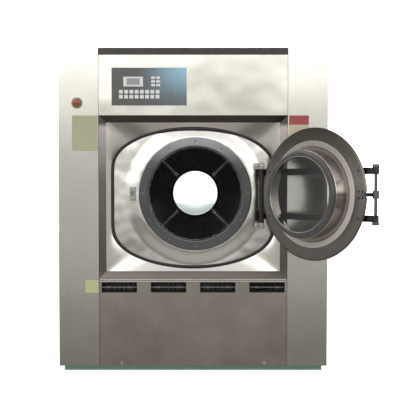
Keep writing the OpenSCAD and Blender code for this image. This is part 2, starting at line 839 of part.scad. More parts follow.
// Catch with a slot that is open towards the side to which the hook swings out
module catch_plate() {
    x = drum_x - latch_x;
    color("lightgray") difference() {
        catch_post(-6, 0);
        block([x - 17, dome_y - 7, drum_z - 13], [x + 8, dome_y + 14, drum_z + 13]);
        block([x - 8, dome_y - 7, drum_z - 13], [x + 8, dome_y + 40, drum_z + 13]);
    }
}

module door_sensor() {
    x = drum_x - latch_x;
    color([0.12, 0.12, 0.12])
        block([x - 16 - run - sensor_w, dome_y + 14, drum_z - sensor_w / 2],
            [x - 16 - run, dome_y + 22, drum_z + sensor_w / 2]);
}

module bearing_housing() {
    color("slategray") on_drum_axis() difference() {
        union() {
            y_tube(tub_back + run / 3, tub_back + 20, bearing_r, shaft_r + 12);
            y_tube(tub_back + 19, tub_back + bearing_l, shaft_r + bearing_h + 23, shaft_r + 12);
            for (a = [0 : 60 : 359]) rotate([0, a, 0])
                block([shaft_r + 40, tub_back + 19, -10], [bearing_r - 30, tub_back + 60, 10]);
        }
        for (y = bearing_ys) y_tube(y - 20, y + 20, shaft_r + bearing_h, 1);
    }
}

module shaft_bearings() {
    color("silver") on_drum_axis() for (y = bearing_ys)
        y_tube(y - 19.8, y + 19.8, shaft_r + bearing_h - 0.1, shaft_r + 0.05);
}

module drive_motor() {
    y_lo = motor_back - motor_l;
    color([0.25, 0.3, 0.36]) difference() {
        translate([motor_x, 0, motor_z]) union() {
            y_tube(y_lo, motor_back, motor_r, 20.05);
            for (a = [0 : 15 : 359]) rotate([0, a, 0])
                block([motor_r - 2, y_lo + 40, -2], [motor_r + 12, motor_back - 40, 2]);
            block([-40, y_lo + 90, motor_r - 4], [40, motor_back - 90, motor_r + 30]);
        }
        along_y(motor_x, y_lo - 1, motor_z) cylinder(h = 5, r = 30);
    }
}

// Arms from the tub to the four springs, and the cradle of the motor
module tub_supports() {
    web_x = spring_x - web_end;
    top = motor_z + motor_r + 30 + run;
    color("slategray") difference() {
        union() {
            for (y = spring_ys) {
                block([drum_x - spring_x - 45, y - 45, seat_z + run],
                    [drum_x + spring_x + 45, y + 45, seat_z + 25]);
                block([drum_x - web_x, y - 12, seat_z + 24],
                    [drum_x + web_x, y + 12, seat_z + 24 + web_h]);
            }
            block([motor_x - 90, motor_back - motor_l + 30, top],
                [motor_x + 90, motor_back - 20, top + 15]);
            block([motor_x - 90, spring_ys[1] - 12, top],
                [motor_x + 90, spring_ys[1] + 12, seat_z + 25]);
        }
        on_drum_axis() along_y(0, tub_y - 50, 0) cylinder(h = cabinet_d, r = tub_r + 0.1);
    }
}

// Outline of a loop that runs round two pulleys, an arc on each and straight runs between
function loop_points(r_big, r_small) =
    let (d = norm([motor_side, motor_dz]), turn = atan2(motor_dz, motor_side),
        a = acos((r_big - r_small) / d), n = 64, m = 24)
    concat(
        [for (i = [0 : n]) let (b = turn + a + (360 - 2 * a) * i / n)
            [r_big * cos(b), r_big * sin(b)]],
        [for (i = [0 : m]) let (b = turn - a + 2 * a * i / m)
            [motor_side + r_small * cos(b), motor_dz + r_small * sin(b)]]);

module drive_belts() {
    belt_gap = 0.45;
    first = pulley_y - (belt_n - 1) * belt_pitch / 2;
    color([0.1, 0.1, 0.1]) for (i = [0 : belt_n - 1])
        translate([drum_x, first + i * belt_pitch + 7, drum_z]) rotate([90, 0, 0])
            linear_extrude(14) difference() {
                polygon(loop_points(pulley_r + belt_gap + 10, motor_pulley_r + belt_gap + 10));
                polygon(loop_points(pulley_r + belt_gap, motor_pulley_r + belt_gap));
            }
}

module drain_valve() {
    r = drain_r + 7;
    color([0.3, 0.35, 0.4]) difference() {
        union() {
            translate([drain_x, tub_back - 150, drain_z - r - 10])
                cylinder(h = drum_z - tub_r + r + 42 - drain_z, r = r);
            along_y(drain_x, tub_back - 150, drain_z)
                cylinder(h = rear_y - 10 - run - tub_back, r = drain_r - 8);
        }
        on_drum_axis() along_y(0, tub_y - 50, 0) cylinder(h = cabinet_d, r = tub_r + 0.1);
    }
}

// Suspension springs, each one unbroken tube

coil_r = (spring_d - spring_wire) / 2;
coil_rise = spring_h - spring_wire - 2 * run;
coil_rings = 10 * spring_turns;
coil_sides = 6;
function coil_point(i) = let (k = i / coil_rings, a = 360 * spring_turns * k)
    [coil_r * cos(a), coil_r * sin(a), run + spring_wire / 2 + coil_rise * k];
function coil_ring(i) = let (a = 360 * spring_turns * i / coil_rings, c = coil_point(i))
    [for (s = [0 : coil_sides - 1]) let (b = s * 360 / coil_sides + 30, w = spring_wire / 2)
        [c[0] + w * cos(b) * cos(a), c[1] + w * cos(b) * sin(a), c[2] + w * sin(b)]];
coil_gap = coil_rise / spring_turns - spring_wire;
echo(least_gap_between_spring_turns = coil_gap);

module coil() {
    n = coil_sides;
    points = [for (i = [0 : coil_rings]) each coil_ring(i)];
    sides = [for (i = [0 : coil_rings - 1]) for (s = [0 : n - 1]) for (half = [0, 1])
        let (a = i * n + s, b = i * n + (s + 1) % n, c = a + n, d = b + n)
        half == 0 ? [a, b, c] : [b, d, c]];
    caps = [for (s = [1 : n - 2]) each [[0, s + 1, s],
        [coil_rings * n, coil_rings * n + s, coil_rings * n + s + 1]]];
    polyhedron(points, concat(sides, caps));
}

module suspension_springs() {
    color("darkslategray") for (x = [-1, 1]) for (y = spring_ys)
        translate([drum_x + x * spring_x, y, spring_z]) coil();
}

// Drum

module drum_shell() {
    r = drum_d / 2;
    color("silver") on_drum_axis() y_tube(drum_y + drum_t + run / 3, drum_back, r + drum_t, r);
}

// Front plate of the drum with the rolled lip of its mouth
module drum_front_plate() {
    lip = 38;
    color("silver") on_drum_axis() union() {
        y_tube(drum_y, drum_y + drum_t, drum_d / 2 + drum_t, drum_mouth_r);
        along_y(0, drum_y - lip, 0) rotate_extrude() polygon([[drum_mouth_r, 3],
            [drum_mouth_r + 2, 0], [drum_mouth_r + 4, 3], [drum_mouth_r + 4, lip + drum_t],
            [drum_mouth_r, lip + drum_t]]);
    }
}

module drum_rear_wall() {
    r = drum_d / 2 - run / 3;
    color([0.1, 0.1, 0.11]) on_drum_axis() along_y(0, drum_back, 0) difference() {
        rotate_extrude() polygon([[0, -dish_d], [boss_r - 6, -dish_d],
            [boss_r, 4 - dish_d], [boss_r + 8, 22 - dish_d], [r - dish_band, -dish_fold],
            [r, 20 - dish_fold], [r, 0], [r - 6, 0], [r - 6, 26 - dish_fold],
            [r - dish_band - 2, 6 - dish_fold], [boss_r + 10, 30 - dish_d],
            [boss_r + 10, 0], [0, 0]]);
        translate([0, 0, -60]) cylinder(h = 61, r = shaft_r + 0.1);
    }
}

// Four lifters that follow the dished rear wall and run to the front of the drum
module drum_lifters() {
    r = drum_d / 2 - run / 3;
    color("darkgray") on_drum_axis() for (a = [45 : 90 : 359]) rotate([0, a, 0])
        difference() {
            union() {
                translate([0, 0, -11]) linear_extrude(22) polygon([[r, drum_y + drum_t + 1],
                    [r, drum_back + 19 - dish_fold], [r - dish_band + 1, drum_back - dish_fold - 1],
                    [boss_r + 9, drum_back + 21 - dish_d], [boss_r + 30, drum_back + 8 - dish_d],
                    [r - dish_band + 10, drum_back - dish_fold - 60],
                    [r - lifter_h, drum_back - 170], [r - lifter_h, drum_y + 90]]);
            }
            along_y(0, drum_y, 0) difference() {
                cylinder(h = drum_l, r = r + 60);
                translate([0, 0, -1]) cylinder(h = drum_l + 2, r = r - 0.1);
            }
        }
}

module main_shaft() {
    end_y = pulley_y + pulley_w / 2 + 30;
    color("silver") on_drum_axis() along_y(0, drum_back - 59.5, 0)
        cylinder(h = end_y - drum_back + 59.5, r = shaft_r);
}

module drum_pulley() {
    color("dimgray") on_drum_axis() difference() {
        union() {
            y_tube(pulley_y - pulley_w / 2, pulley_y + pulley_w / 2, pulley_r, pulley_r - 26);
            y_tube(pulley_y - pulley_w / 2, pulley_y + pulley_w / 2, shaft_r + 30, shaft_r + 0.1);
            y_tube(pulley_y - 6, pulley_y + 6, pulley_r - 20, shaft_r + 20);
        }
        for (a = [0 : 72 : 359]) rotate([0, a, 0]) along_y(pulley_r * 0.6, pulley_y - 20, 0)
            cylinder(h = 40, r = pulley_r * 0.19);
    }
}

module motor_pulley() {
    y_hi = pulley_y + pulley_w / 2;
    y_lo = motor_back - motor_l + 10;
    color("gray") translate([motor_x, 0, motor_z]) union() {
        y_tube(pulley_y - pulley_w / 2, y_hi, motor_pulley_r, 19);
        along_y(0, y_lo, 0) cylinder(h = y_hi + 10 - y_lo, r = 20);
    }
}

// Door, drawn closed and then swung open

module door_profile(points) {
    opened() translate([drum_x, door_y, drum_z]) rotate([90, 0, 0]) rotate_extrude()
        polygon(points);
}

module door_ring() {
    color([0.29, 0.28, 0.27]) difference() {
        door_profile([[cone_r - 1, 0], [cone_r + 30, 0],
            [door_r - 8, 0], [door_r - 2, 2], [door_r, 7], [door_r - 2, 12], [door_r - 8, 14],
            [door_r - 40, 18], [cone_r + 14, 26], [cone_r + 4, 26], [cone_r - 3, 2],
            [rim_r - 3, -cone_d + 2], [glass_r + 8, -cone_d + 2], [glass_r + 8, -cone_d],
            [rim_r, -cone_d], [cone_r - 1, -2]]);
        opened() block([drum_x - door_r - 5, door_y - 30, drum_z - 14],
            [drum_x - latch_x + 9, door_y + 5, drum_z + 14]);
    }
}

module door_gasket() {
    color("tan") door_profile([[cone_r + 0.3, -0.3], [cone_r + 0.3, -6], [cone_r + 4, -gasket_t],
        [cone_r + 26, -gasket_t], [cone_r + 30, -5], [cone_r + 30, -0.3]]);
}

module glass_ring() {
    color([0.2, 0.18, 0.17]) door_profile([[glass_r, -cone_d - 16], [glass_r + 6, -cone_d - 20],
        [rim_r - 12, -cone_d - 20], [rim_r - 2, -cone_d - 8], [rim_r - 2, -cone_d - 0.3],
        [glass_r + 6.3, -cone_d - 0.3], [glass_r + 6.3, -cone_d - 12], [glass_r, -cone_d - 12]]);
}

module door_glass() {
    color([0.6, 0.7, 0.7, 0.4]) door_profile([[0, -cone_d - 11.7], [glass_r + 6, -cone_d - 11.7],
        [glass_r + 6, -cone_d - 11.7 + glass_t], [0, -cone_d - 11.7 + glass_t]]);
}

// Two arms across the door's outside, joined to the tube that turns on the hinge pin
module door_arms() {
    rod_ax = drum_x - rod_x;
    color([0.22, 0.22, 0.22]) opened() difference() {
        union() {
            translate([hinge_ax, hinge_y, hinge_lo + lug_h + 0.5])
                cylinder(h = hinge_hi - hinge_lo - 2 * lug_h - 1, r = 14);
            for (z = arm_zs) {
                block([rod_ax, arm_y - 22, drum_z + z - arm_h / 2],
                    [hinge_ax, arm_y, drum_z + z + arm_h / 2]);
                block([hinge_ax - 14, arm_y - 22, drum_z + z - arm_h / 2],
                    [hinge_ax + 10, hinge_y, drum_z + z + arm_h / 2]);
                translate([rod_ax, rod_y, drum_z + z - arm_h / 2]) cylinder(h = arm_h, r = 16);
            }
        }
        translate([hinge_ax, hinge_y, 0]) cylinder(h = cabinet_h, r = hinge_pin_r + 0.05);
        for (z = arm_zs) translate([rod_ax, rod_y, drum_z + z - arm_h])
            cylinder(h = 2 * arm_h, r = latch_r + 0.06);
    }
}

// Latch rod with its knob, foot and the hook that enters the catch
module latch_rod() {
    x = drum_x - rod_x;
    y = rod_y;
    top = drum_z + arm_zs[0] + arm_h / 2;
    low = drum_z + arm_zs[1] - arm_h / 2;
    hook_x = drum_x - latch_x;
    color("darkslategray") opened() union() {
        translate([x, y, low - 16]) cylinder(h = top - low + 32, r = latch_r);
        translate([x, y, top + run]) cylinder(h = 15, r = 18);
        translate([x, y, low - 16 - run]) cylinder(h = 16, r = 18);
        translate([x, y, drum_z - 20]) cylinder(h = 40, r = 17);
        block([x, y - 6, drum_z - 10], [hook_x + 6, y + 8, drum_z + 10]);
        block([hook_x - 6, y - 6, drum_z - 10], [hook_x + 6, dome_y + 8, drum_z + 10]);
    }
}

base_frame();
main_frame();
left_column();
right_column();
left_side_panel();
right_side_panel();
top_cover();
top_trim();
control_housing();
rear_panel();
lower_front_panel();
bezel_strips();
funnel_panel();
seal_strip();
keypad_panel();
lcd_window();
program_keys();
function_keys();
stop_ring();
stop_stem();
stop_button();
vent_trays();
vent_bars();
panel_screws();
water_inlets();
steam_inlet();
drain_outlet();
cable_gland();
electrical_box();
tub_shell();
tub_front_plate();
tub_front_panel();
clamp_ring();
ring_bolts();
hinge_bracket();
hinge_pin();
catch_plate();
door_sensor();
bearing_housing();
shaft_bearings();
drive_motor();
tub_supports();
drive_belts();
drain_valve();
suspension_springs();
drum_shell();
drum_front_plate();
drum_rear_wall();
drum_lifters();
main_shaft();
drum_pulley();
motor_pulley();
door_ring();
door_gasket();
door_glass();
glass_ring();
door_arms();
latch_rod();
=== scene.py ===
"""Dresses an industrial laundry machine, its round door swung open, on its mechanical model."""
import math

import bmesh
import bpy
from bpy.props import FloatProperty, FloatVectorProperty, IntProperty, PointerProperty
from mathutils import Matrix, Vector


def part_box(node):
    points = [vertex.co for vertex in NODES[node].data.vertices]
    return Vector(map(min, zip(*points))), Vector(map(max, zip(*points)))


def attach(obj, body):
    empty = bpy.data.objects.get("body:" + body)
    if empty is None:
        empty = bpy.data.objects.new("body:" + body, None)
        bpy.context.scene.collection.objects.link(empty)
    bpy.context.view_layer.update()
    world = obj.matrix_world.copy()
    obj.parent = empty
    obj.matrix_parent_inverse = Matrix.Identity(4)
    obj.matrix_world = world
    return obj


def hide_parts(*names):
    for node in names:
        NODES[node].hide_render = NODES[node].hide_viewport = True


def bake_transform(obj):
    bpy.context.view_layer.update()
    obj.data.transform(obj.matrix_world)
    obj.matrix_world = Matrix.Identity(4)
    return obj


bl_info = {
    "name": "Laundry machine",
    "version": (1, 0, 0),
    "blender": (4, 5, 0),
    "location": "3D View > Sidebar > Laundry machine",
    "description": "Finishes and small pieces of an industrial laundry machine",
    "category": "Object",
}

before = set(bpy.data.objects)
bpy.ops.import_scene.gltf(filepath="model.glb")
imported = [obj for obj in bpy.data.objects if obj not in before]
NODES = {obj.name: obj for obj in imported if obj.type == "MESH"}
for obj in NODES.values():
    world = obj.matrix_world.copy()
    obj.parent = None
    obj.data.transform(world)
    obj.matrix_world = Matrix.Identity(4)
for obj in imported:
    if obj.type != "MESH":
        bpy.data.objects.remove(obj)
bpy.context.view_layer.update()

# Places that the mechanical model gives

FRONT_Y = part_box("left_column")[0].y
RING_LO, RING_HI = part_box("clamp_ring")
RING_RADIUS = (RING_HI.x - RING_LO.x) / 2
AXIS_X = (RING_LO.x + RING_HI.x) / 2
AXIS_Z = (RING_LO.z + RING_HI.z) / 2
RING_FACE = RING_LO.y
PIN_LO, PIN_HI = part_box("hinge_pin")
HINGE = Vector(((PIN_LO.x + PIN_HI.x) / 2, (PIN_LO.y + PIN_HI.y) / 2, 0.0))
SEAL_LO, SEAL_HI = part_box("seal_strip")
MOUTH_Y = (SEAL_LO.y + SEAL_HI.y) / 2

# Measures that the mechanical model's boxes don't give

DOOR_ANGLE = math.radians(133)  # how far the door stands open
DOOR_FACE = HINGE.y + 0.012  # the closed flange's face towards the tub
MOUTH_A, MOUTH_B, MOUTH_Z = 0.445, 0.382, 0.960  # half width, half height, height of the middle
CORNER_SQUARENESS = 9.0  # of the mouth's outline, 2 would be an ellipse
MOUTH_STEPS = 192  # points round the mouth
PROFILE_LIP = 0.0085  # how far the rubber profile reaches into the mouth
TUB_TRAVEL = 0.006  # how far the tub lifts on its springs
SUNK = 0.0005  # how deep a screw head sits in what it holds


# Settings

def colour(name, description, value):
    """A colour setting."""
    return FloatVectorProperty(
        name=name, description=description, subtype="COLOR", size=3, min=0, max=1, default=value
    )


def length(name, description, value, low=0.0, high=20.0):
    """A length setting in metres."""
    return FloatProperty(
        name=name, description=description, default=value, min=low, max=high,
        subtype="DISTANCE", unit="LENGTH",
    )


class LaundryColours(bpy.types.PropertyGroup):
    """Colours of the machine's finishes"""

    front_steel: colour("Front steel", "Steel of the control housing", (0.55, 0.54, 0.50))
    column_steel: colour("Column steel", "Steel of the front columns", (0.64, 0.62, 0.58))
    lower_steel: colour("Lower steel", "Steel of the lower front panel", (0.43, 0.39, 0.36))
    side_steel: colour("Side steel", "Steel of the sides, top and back", (0.56, 0.55, 0.53))
    recess_steel: colour("Recess steel", "Steel of the funnel", (0.61, 0.59, 0.555))
    tub_front: colour("Tub front", "Steel of the tub's front", (0.76, 0.745, 0.71))
    # Painted shade: the strips' steel is painted dark for the dark recess it lies in and reflects.
    strip_steel: colour("Strip steel", "Steel of the mitred strips", (0.12, 0.112, 0.108))
    # Painted shade: the recessed top trim is painted near black for the shadow of its gap.
    dark_trim: colour("Dark trim", "Paint of the top trim", (0.030, 0.025, 0.023))
    clamp_ring: colour("Clamp ring", "Paint of the ring round the mouth", (0.095, 0.10, 0.10))
    # Painted shade: the drum's polished metal is painted dark for the shade inside the drum.
    drum: colour("Drum", "Polished metal inside the drum", (0.15, 0.15, 0.15))
    door_ring: colour("Door ring", "Metal of the door's flange", (0.115, 0.104, 0.096))
    gasket: colour("Gasket", "Rubber of the door's seal", (0.44, 0.41, 0.375))
    rubber: colour("Rubber", "Black rubber profiles", (0.012, 0.012, 0.012))
    keypad: colour("Keypad", "Film of the membrane panel", (0.11, 0.108, 0.10))
    keys: colour("Keys", "Membrane keys", (0.93, 0.94, 0.92))
    stop: colour("Stop button", "Red head of the stop button", (0.36, 0.05, 0.035))
    stop_ring: colour("Stop ring", "Ring under the stop button", (0.30, 0.27, 0.12))
    base: colour("Base", "Green paint of the base frame", (0.26, 0.46, 0.36))
    olive_plate: colour("Olive plate", "Bare plate on the left column", (0.53, 0.52, 0.34))
    yellow_plate: colour("Yellow plate", "Bare plate beside the grilles", (0.64, 0.64, 0.32))
    cream_plate: colour("Cream plate", "Lower plate of the right column", (0.72, 0.64, 0.44))
    red_plate: colour("Red plate", "Upper plate of the right column", (0.45, 0.09, 0.09))


class LaundrySizes(bpy.types.PropertyGroup):
    """Sizes of the small pieces"""

    ring_bolt: length("Ring bolt", "Head radius of the clamp ring's bolts", 0.006, 0.004, 0.012)
    edge_round: length("Edge round", "Bevel on sheet edges", 0.0012, 0.0002, 0.004)
    mesh_steps: IntProperty(
        name="Steps", description="Segments of a full turn", default=128, min=32, max=256
    )


class LaundryStage(bpy.types.PropertyGroup):
    """Camera settings"""

    camera_distance: length("Camera distance", "From the camera to the front", 5.0, 2.0, 12.0)
    camera_height: length("Camera height", "Height of the camera", 1.026, 0.2, 3.0)
    camera_pitch: FloatProperty(
        name="Pitch", description="Downward tilt of the camera", default=math.radians(2.62),
        subtype="ANGLE",
    )
    lens: FloatProperty(name="Lens", description="Focal length in millimetres", default=77.9)


def colours():
    """The colour settings."""
    return bpy.context.scene.laundry_colours


def sizes():
    """The size settings."""
    return bpy.context.scene.laundry_sizes


# Shader nodes and groups

def feed(tree, inputs, sockets):
    """Gives input sockets, by name or number, each a value or a link from an output."""
    for key, value in sockets.items():
        if isinstance(value, bpy.types.NodeSocket):
            tree.links.new(value, inputs[key])
        else:
            inputs[key].default_value = value


def add(tree, kind, sockets=None, **values):
    """A node with its properties and what its sockets are fed."""
    node = tree.nodes.new(kind)
    for key, value in values.items():
        setattr(node, key, value)
    feed(tree, node.inputs, sockets or {})
    return node


def place(tree):
    """Where a point lies on its piece."""
    return add(tree, "ShaderNodeTexCoord").outputs["Object"]


def noise(tree, vector, scale, detail, roughness=0.5, distortion=0.0):
    """A noise along a vector."""
    sockets = {"Vector": vector, "Scale": scale, "Detail": detail, "Roughness": roughness,
               "Distortion": distortion}
    return add(tree, "ShaderNodeTexNoise", sockets).outputs["Fac"]


def times(tree, value, factor):
    """Two values multiplied."""
    return add(tree, "ShaderNodeMath", {0: value, 1: factor}, operation="MULTIPLY").outputs[0]


def plus(tree, value, more, clamp=False):
    """Two values added."""
    sockets = {0: value, 1: more}
    return add(tree, "ShaderNodeMath", sockets, operation="ADD", use_clamp=clamp).outputs[0]


def remap(tree, value, low, high, to_low=0.0, to_high=1.0, ease="LINEAR"):
    """A value's way from a low to a high level, laid onto another span."""
    sockets = {0: value, 1: low, 2: high, 3: to_low, 4: to_high}
    return add(tree, "ShaderNodeMapRange", sockets, interpolation_type=ease).outputs[0]


def mixed(tree, share, low, high, how="MIX"):
    """A colour that turns from one into another by a share."""
    sockets = {0: share, 6: low, 7: high}
    return add(tree, "ShaderNodeMix", sockets, data_type="RGBA", blend_type=how).outputs[2]


def ramp(tree, share, stops, ease="LINEAR"):
    """A colour that runs by a share through stops, each a place and a colour."""
    node = add(tree, "ShaderNodeValToRGB", {"Fac": share})
    node.color_ramp.interpolation = ease
    elements = node.color_ramp.elements
    while len(elements) < len(stops):
        elements.new(0.5)
    for element, (at, tone) in zip(elements, stops):
        element.position = at
        element.color = (*tone, 1)
    return node.outputs["Color"]


def group(name, inputs, outputs):
    """A new shader group, what it is given and the sockets of what it gives."""
    tree = bpy.data.node_groups.new(name, "ShaderNodeTree")
    for label, value in inputs.items():
        kind = "NodeSocketVector" if value is None else "NodeSocketFloat"
        socket = tree.interface.new_socket(name=label, in_out="INPUT", socket_type=kind)
        if value is not None:
            socket.default_value = value
    for label in outputs:
        tree.interface.new_socket(name=label, in_out="OUTPUT", socket_type="NodeSocketFloat")
    given, out = tree.nodes.new("NodeGroupInput"), tree.nodes.new("NodeGroupOutput")
    return tree, given.outputs, out.inputs


def pattern(tree, name, make, sockets=None):
    """What the group of that name gives. It is made on first use."""
    shared = bpy.data.node_groups.get(name) or make(name)
    return add(tree, "ShaderNodeGroup", sockets, node_tree=shared).outputs


def brushed_sheet_group(name):
    """Fine drawn grain and hand marks of a stainless sheet, along the stretched vector."""
    tree, given, out = group(
        name,
        {"Grain Vector": None, "Grain Scale": 900.0, "Marks": 0.5, "Low": 0.2, "High": 0.35},
        ("Tone", "Roughness", "Height"),
    )
    grain = noise(tree, given["Grain Vector"], given["Grain Scale"], 3.0, 0.65)
    marks = remap(tree, noise(tree, place(tree), 5.5, 6.0, 0.6), 0.35, 0.75)
    total = plus(tree, times(tree, grain, 0.6), times(tree, marks, given["Marks"]), clamp=True)
    rough = remap(tree, total, 0.0, 1.0, given["Low"], given["High"])
    feed(tree, out, {"Tone": total, "Roughness": rough, "Height": grain})
    return tree


def sheet_wave_group(name):
    """Slow unevenness of a thin sheet, as a height."""
    tree, given, out = group(name, {"Scale": 1.6, "Second": 0.3}, ("Height",))
    wide = noise(tree, place(tree), given["Scale"], 0.0, distortion=0.4)
    near = noise(tree, place(tree), times(tree, given["Scale"], 3.1), 1.0)
    feed(tree, out, {"Height": plus(tree, wide, times(tree, near, given["Second"]))})
    return tree


def moulded_group(name):
    """Fine texture and slight patchiness of paint, plastic or rubber."""
    tree, given, out = group(
        name, {"Scale": 400.0, "Low": 0.35, "High": 0.5}, ("Tone", "Roughness", "Height"))
    fine = noise(tree, place(tree), given["Scale"], 2.0)
    patch = noise(tree, place(tree), 9.0, 4.0)
    rough = remap(tree, patch, 0.3, 0.7, given["Low"], given["High"])
    feed(tree, out, {"Tone": patch, "Roughness": rough, "Height": fine})
    return tree


def level_group(name):
    """How far up between two levels a point lies, straight and smoothed at both ends."""
    tree, given, out = group(name, {"Low": 0.0, "High": 1.0}, ("Share", "Smooth Share"))
    height = add(tree, "ShaderNodeSeparateXYZ", {0: place(tree)}).outputs["Z"]
    for label, ease in (("Share", "LINEAR"), ("Smooth Share", "SMOOTHSTEP")):
        feed(tree, out, {label: remap(tree, height, given["Low"], given["High"], ease=ease)})
    return tree


def parts(material):
    """A material's tree and its shader's inputs."""
    tree = material.node_tree
    return tree, tree.nodes["Principled BSDF"].inputs


# Materials

def start_material(name, sockets):
    """A node material, its tree and its shader's inputs, some of them fed."""
    material = bpy.data.materials.new(name)
    material.use_nodes = True
    tree, shader = parts(material)
    feed(tree, shader, sockets)
    return material, tree, shader


def tinted(tree, tone, base, spread):
    """One colour, varied slightly along a tone."""
    dull, fresh = ((*[min(1, c * k) for c in base], 1) for k in (1 - spread, 1 + spread))
    return mixed(tree, tone, dull, fresh)


def cover(material, look, bump, base, spread):
    """Feeds a material's shader with a pattern's look and a bump."""
    tree, shader = parts(material)
    feed(tree, shader, {
        "Normal": add(tree, "ShaderNodeBump", bump).outputs["Normal"],
        "Roughness": look["Roughness"],
        "Base Color": tinted(tree, look["Tone"], base, spread),
    })
    return material


def steel(name, base, grain=(1.0, 1.0, 0.02), low=0.16, high=0.3, wave=0.0, wave_scale=1.6,
          marks=0.5, spread=0.12):
    """Stainless steel with grain along the axis whose share is small."""
    material, tree, _ = start_material(name, {"Metallic": 1.0})
    stretch = add(tree, "ShaderNodeVectorMath", {0: place(tree), 1: grain}, operation="MULTIPLY")
    brushed = pattern(tree, "Brushed sheet", brushed_sheet_group, {
        "Grain Vector": stretch.outputs[0], "Marks": marks, "Low": low, "High": high})
    bump = {"Height": brushed["Height"], "Strength": 0.06, "Distance": 0.0004}
    if wave:
        waves = pattern(tree, "Sheet unevenness", sheet_wave_group, {"Scale": wave_scale})
        slow = {"Height": waves["Height"], "Strength": 1.0, "Distance": wave}
        bump["Normal"] = add(tree, "ShaderNodeBump", slow).outputs["Normal"]
    return cover(material, brushed, bump, base, spread)


def moulded(name, base, low=0.35, high=0.5, scale=400.0, bump=0.1, metallic=0.0, coat=0.0,
            spread=0.1):
    """Paint, plastic or rubber with a fine surface."""
    material, tree, _ = start_material(
        name, {"Metallic": metallic, "Coat Weight": coat, "Coat Roughness": 0.08})
    surface = pattern(tree, "Moulded surface", moulded_group,
                      {"Scale": scale, "Low": low, "High": high})
    grain = {"Height": surface["Height"], "Strength": bump, "Distance": 0.0005}
    return cover(material, surface, grain, base, spread)


def by_height(tree, low, high, output="Share"):
    """The share of the way from a low to a high level, as a socket."""
    return pattern(tree, "Level", level_group, {"Low": low, "High": high})[output]


def overlaid(material, share, other, how="MIX"):
    """Lays another colour over a finish's own by a share."""
    tree, shader = parts(material)
    own = shader["Base Color"].links[0].from_socket
    feed(tree, shader, {"Base Color": mixed(tree, share, own, other, how)})
    return material


def painted_light_by_height(material, low, high, stops):
    """Tints a finish by height with painted shade and painted highlights, the highlights where
    above 1.
    """
    tree = material.node_tree
    return overlaid(material, 1.0, ramp(tree, by_height(tree, low, high), stops), "MULTIPLY")


def strip_steel(name, base):
    """Dark brushed steel whose painted shade and painted highlights vary from the sill up to the
    lintel.
    """
    # Painted light by height: lighter on the sill, which faces up, a painted highlight high up the
    # sides, painted shade on the lintel, which faces down.
    stops = [(0.0, (1.3, 1.22, 1.12)), (0.04, (1.3, 1.22, 1.12)), (0.07, (0.95, 0.92, 0.88)),
             (0.6, (1.2, 1.16, 1.14)), (0.92, (3.0, 2.85, 2.9)), (0.945, (0.6, 0.55, 0.52))]
    return painted_light_by_height(steel(name, base, (1, 1, 0.03), 0.3, 0.42), 0.5, 1.42, stops)


def flange_steel(name, base):
    """Turned steel of the door's flange, with a painted highlight beside and painted shade above.
    """
    # Painted light by height: brightest at mid height, painted shade towards the top.
    stops = [(0.0, (1.3, 1.3, 1.3)), (0.3, (1.5, 1.52, 1.52)), (0.6, (1.75, 1.78, 1.78)),
             (0.8, (0.9, 0.9, 0.88)), (1.0, (0.42, 0.42, 0.38))]
    return painted_light_by_height(steel(name, base, (1, 1, 0.3), 0.3, 0.42, 0.004, 2.0),
                  AXIS_Z - 0.35, AXIS_Z + 0.34, stops)


def gasket_rubber(name, base):
    """Pale rubber of the door's gasket, with painted light that is brightest beside."""
    # Painted light by height: brighter at mid height, plain towards the top.
    stops = [(0.0, (1.2, 1.2, 1.18)), (0.25, (1.5, 1.5, 1.46)), (0.6, (1.6, 1.6, 1.54)),
             (0.85, (1.05, 1.05, 1.05)), (1.0, (0.95, 0.95, 0.95))]
    return painted_light_by_height(moulded(name, base, 0.45, 0.6, 500, 0.2), AXIS_Z - 0.3, AXIS_Z + 0.3, stops)


def ring_paint(name, base):
    """Dark paint of the ring round the mouth, with a painted highlight over its upper part."""
    material = moulded(name, base, 0.3, 0.44, 120, 0.5, 0.85, spread=0.3)
    # Painted highlight: a paler grey laid over the ring's upper part.
    top = by_height(material.node_tree, AXIS_Z + 0.13, AXIS_Z + 0.30, "Smooth Share")
    return overlaid(material, top, (0.31, 0.325, 0.325, 1))


def lit_disc(name, base):
    """Mirror-polished disc whose shine is a painted reflection: it glows white, less so towards
    its foot.
    """
    material = steel(name, base, (1, 0.05, 1), 0.05, 0.12, marks=0.1, spread=0.03)
    tree, shader = parts(material)
    # Painted reflection: the glow is white above and a dim greenish grey at the disc's foot.
    foot = by_height(tree, AXIS_Z - 0.075, AXIS_Z - 0.035, "Smooth Share")
    painted_glow = mixed(tree, foot, (0.26, 0.33, 0.33, 1), (0.85, 0.9, 0.9, 1))
    feed(tree, shader, {"Emission Strength": 1.0, "Emission Color": painted_glow})
    return material


def film_with_painted_sheen(name, base):
    """Membrane film whose grey turns to a painted pale blue sheen towards its upper right corner.
    """
    material = moulded(name, base, 0.22, 0.3, 900, 0.05)
    tree = material.node_tree
    lo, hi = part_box("keypad_panel")
    split = add(tree, "ShaderNodeSeparateXYZ", {0: place(tree)}).outputs
    across = remap(tree, split["X"], lo.x + 0.3 * (hi.x - lo.x), hi.x + 0.01, ease="SMOOTHSTEP")
    up = remap(tree, split["Z"], lo.z, hi.z, 0.12, 1.0, "SMOOTHSTEP")
    # Painted sheen: pale blue laid over the film towards the upper right.
    return overlaid(material, times(tree, across, up), (0.40, 0.68, 0.84, 1))


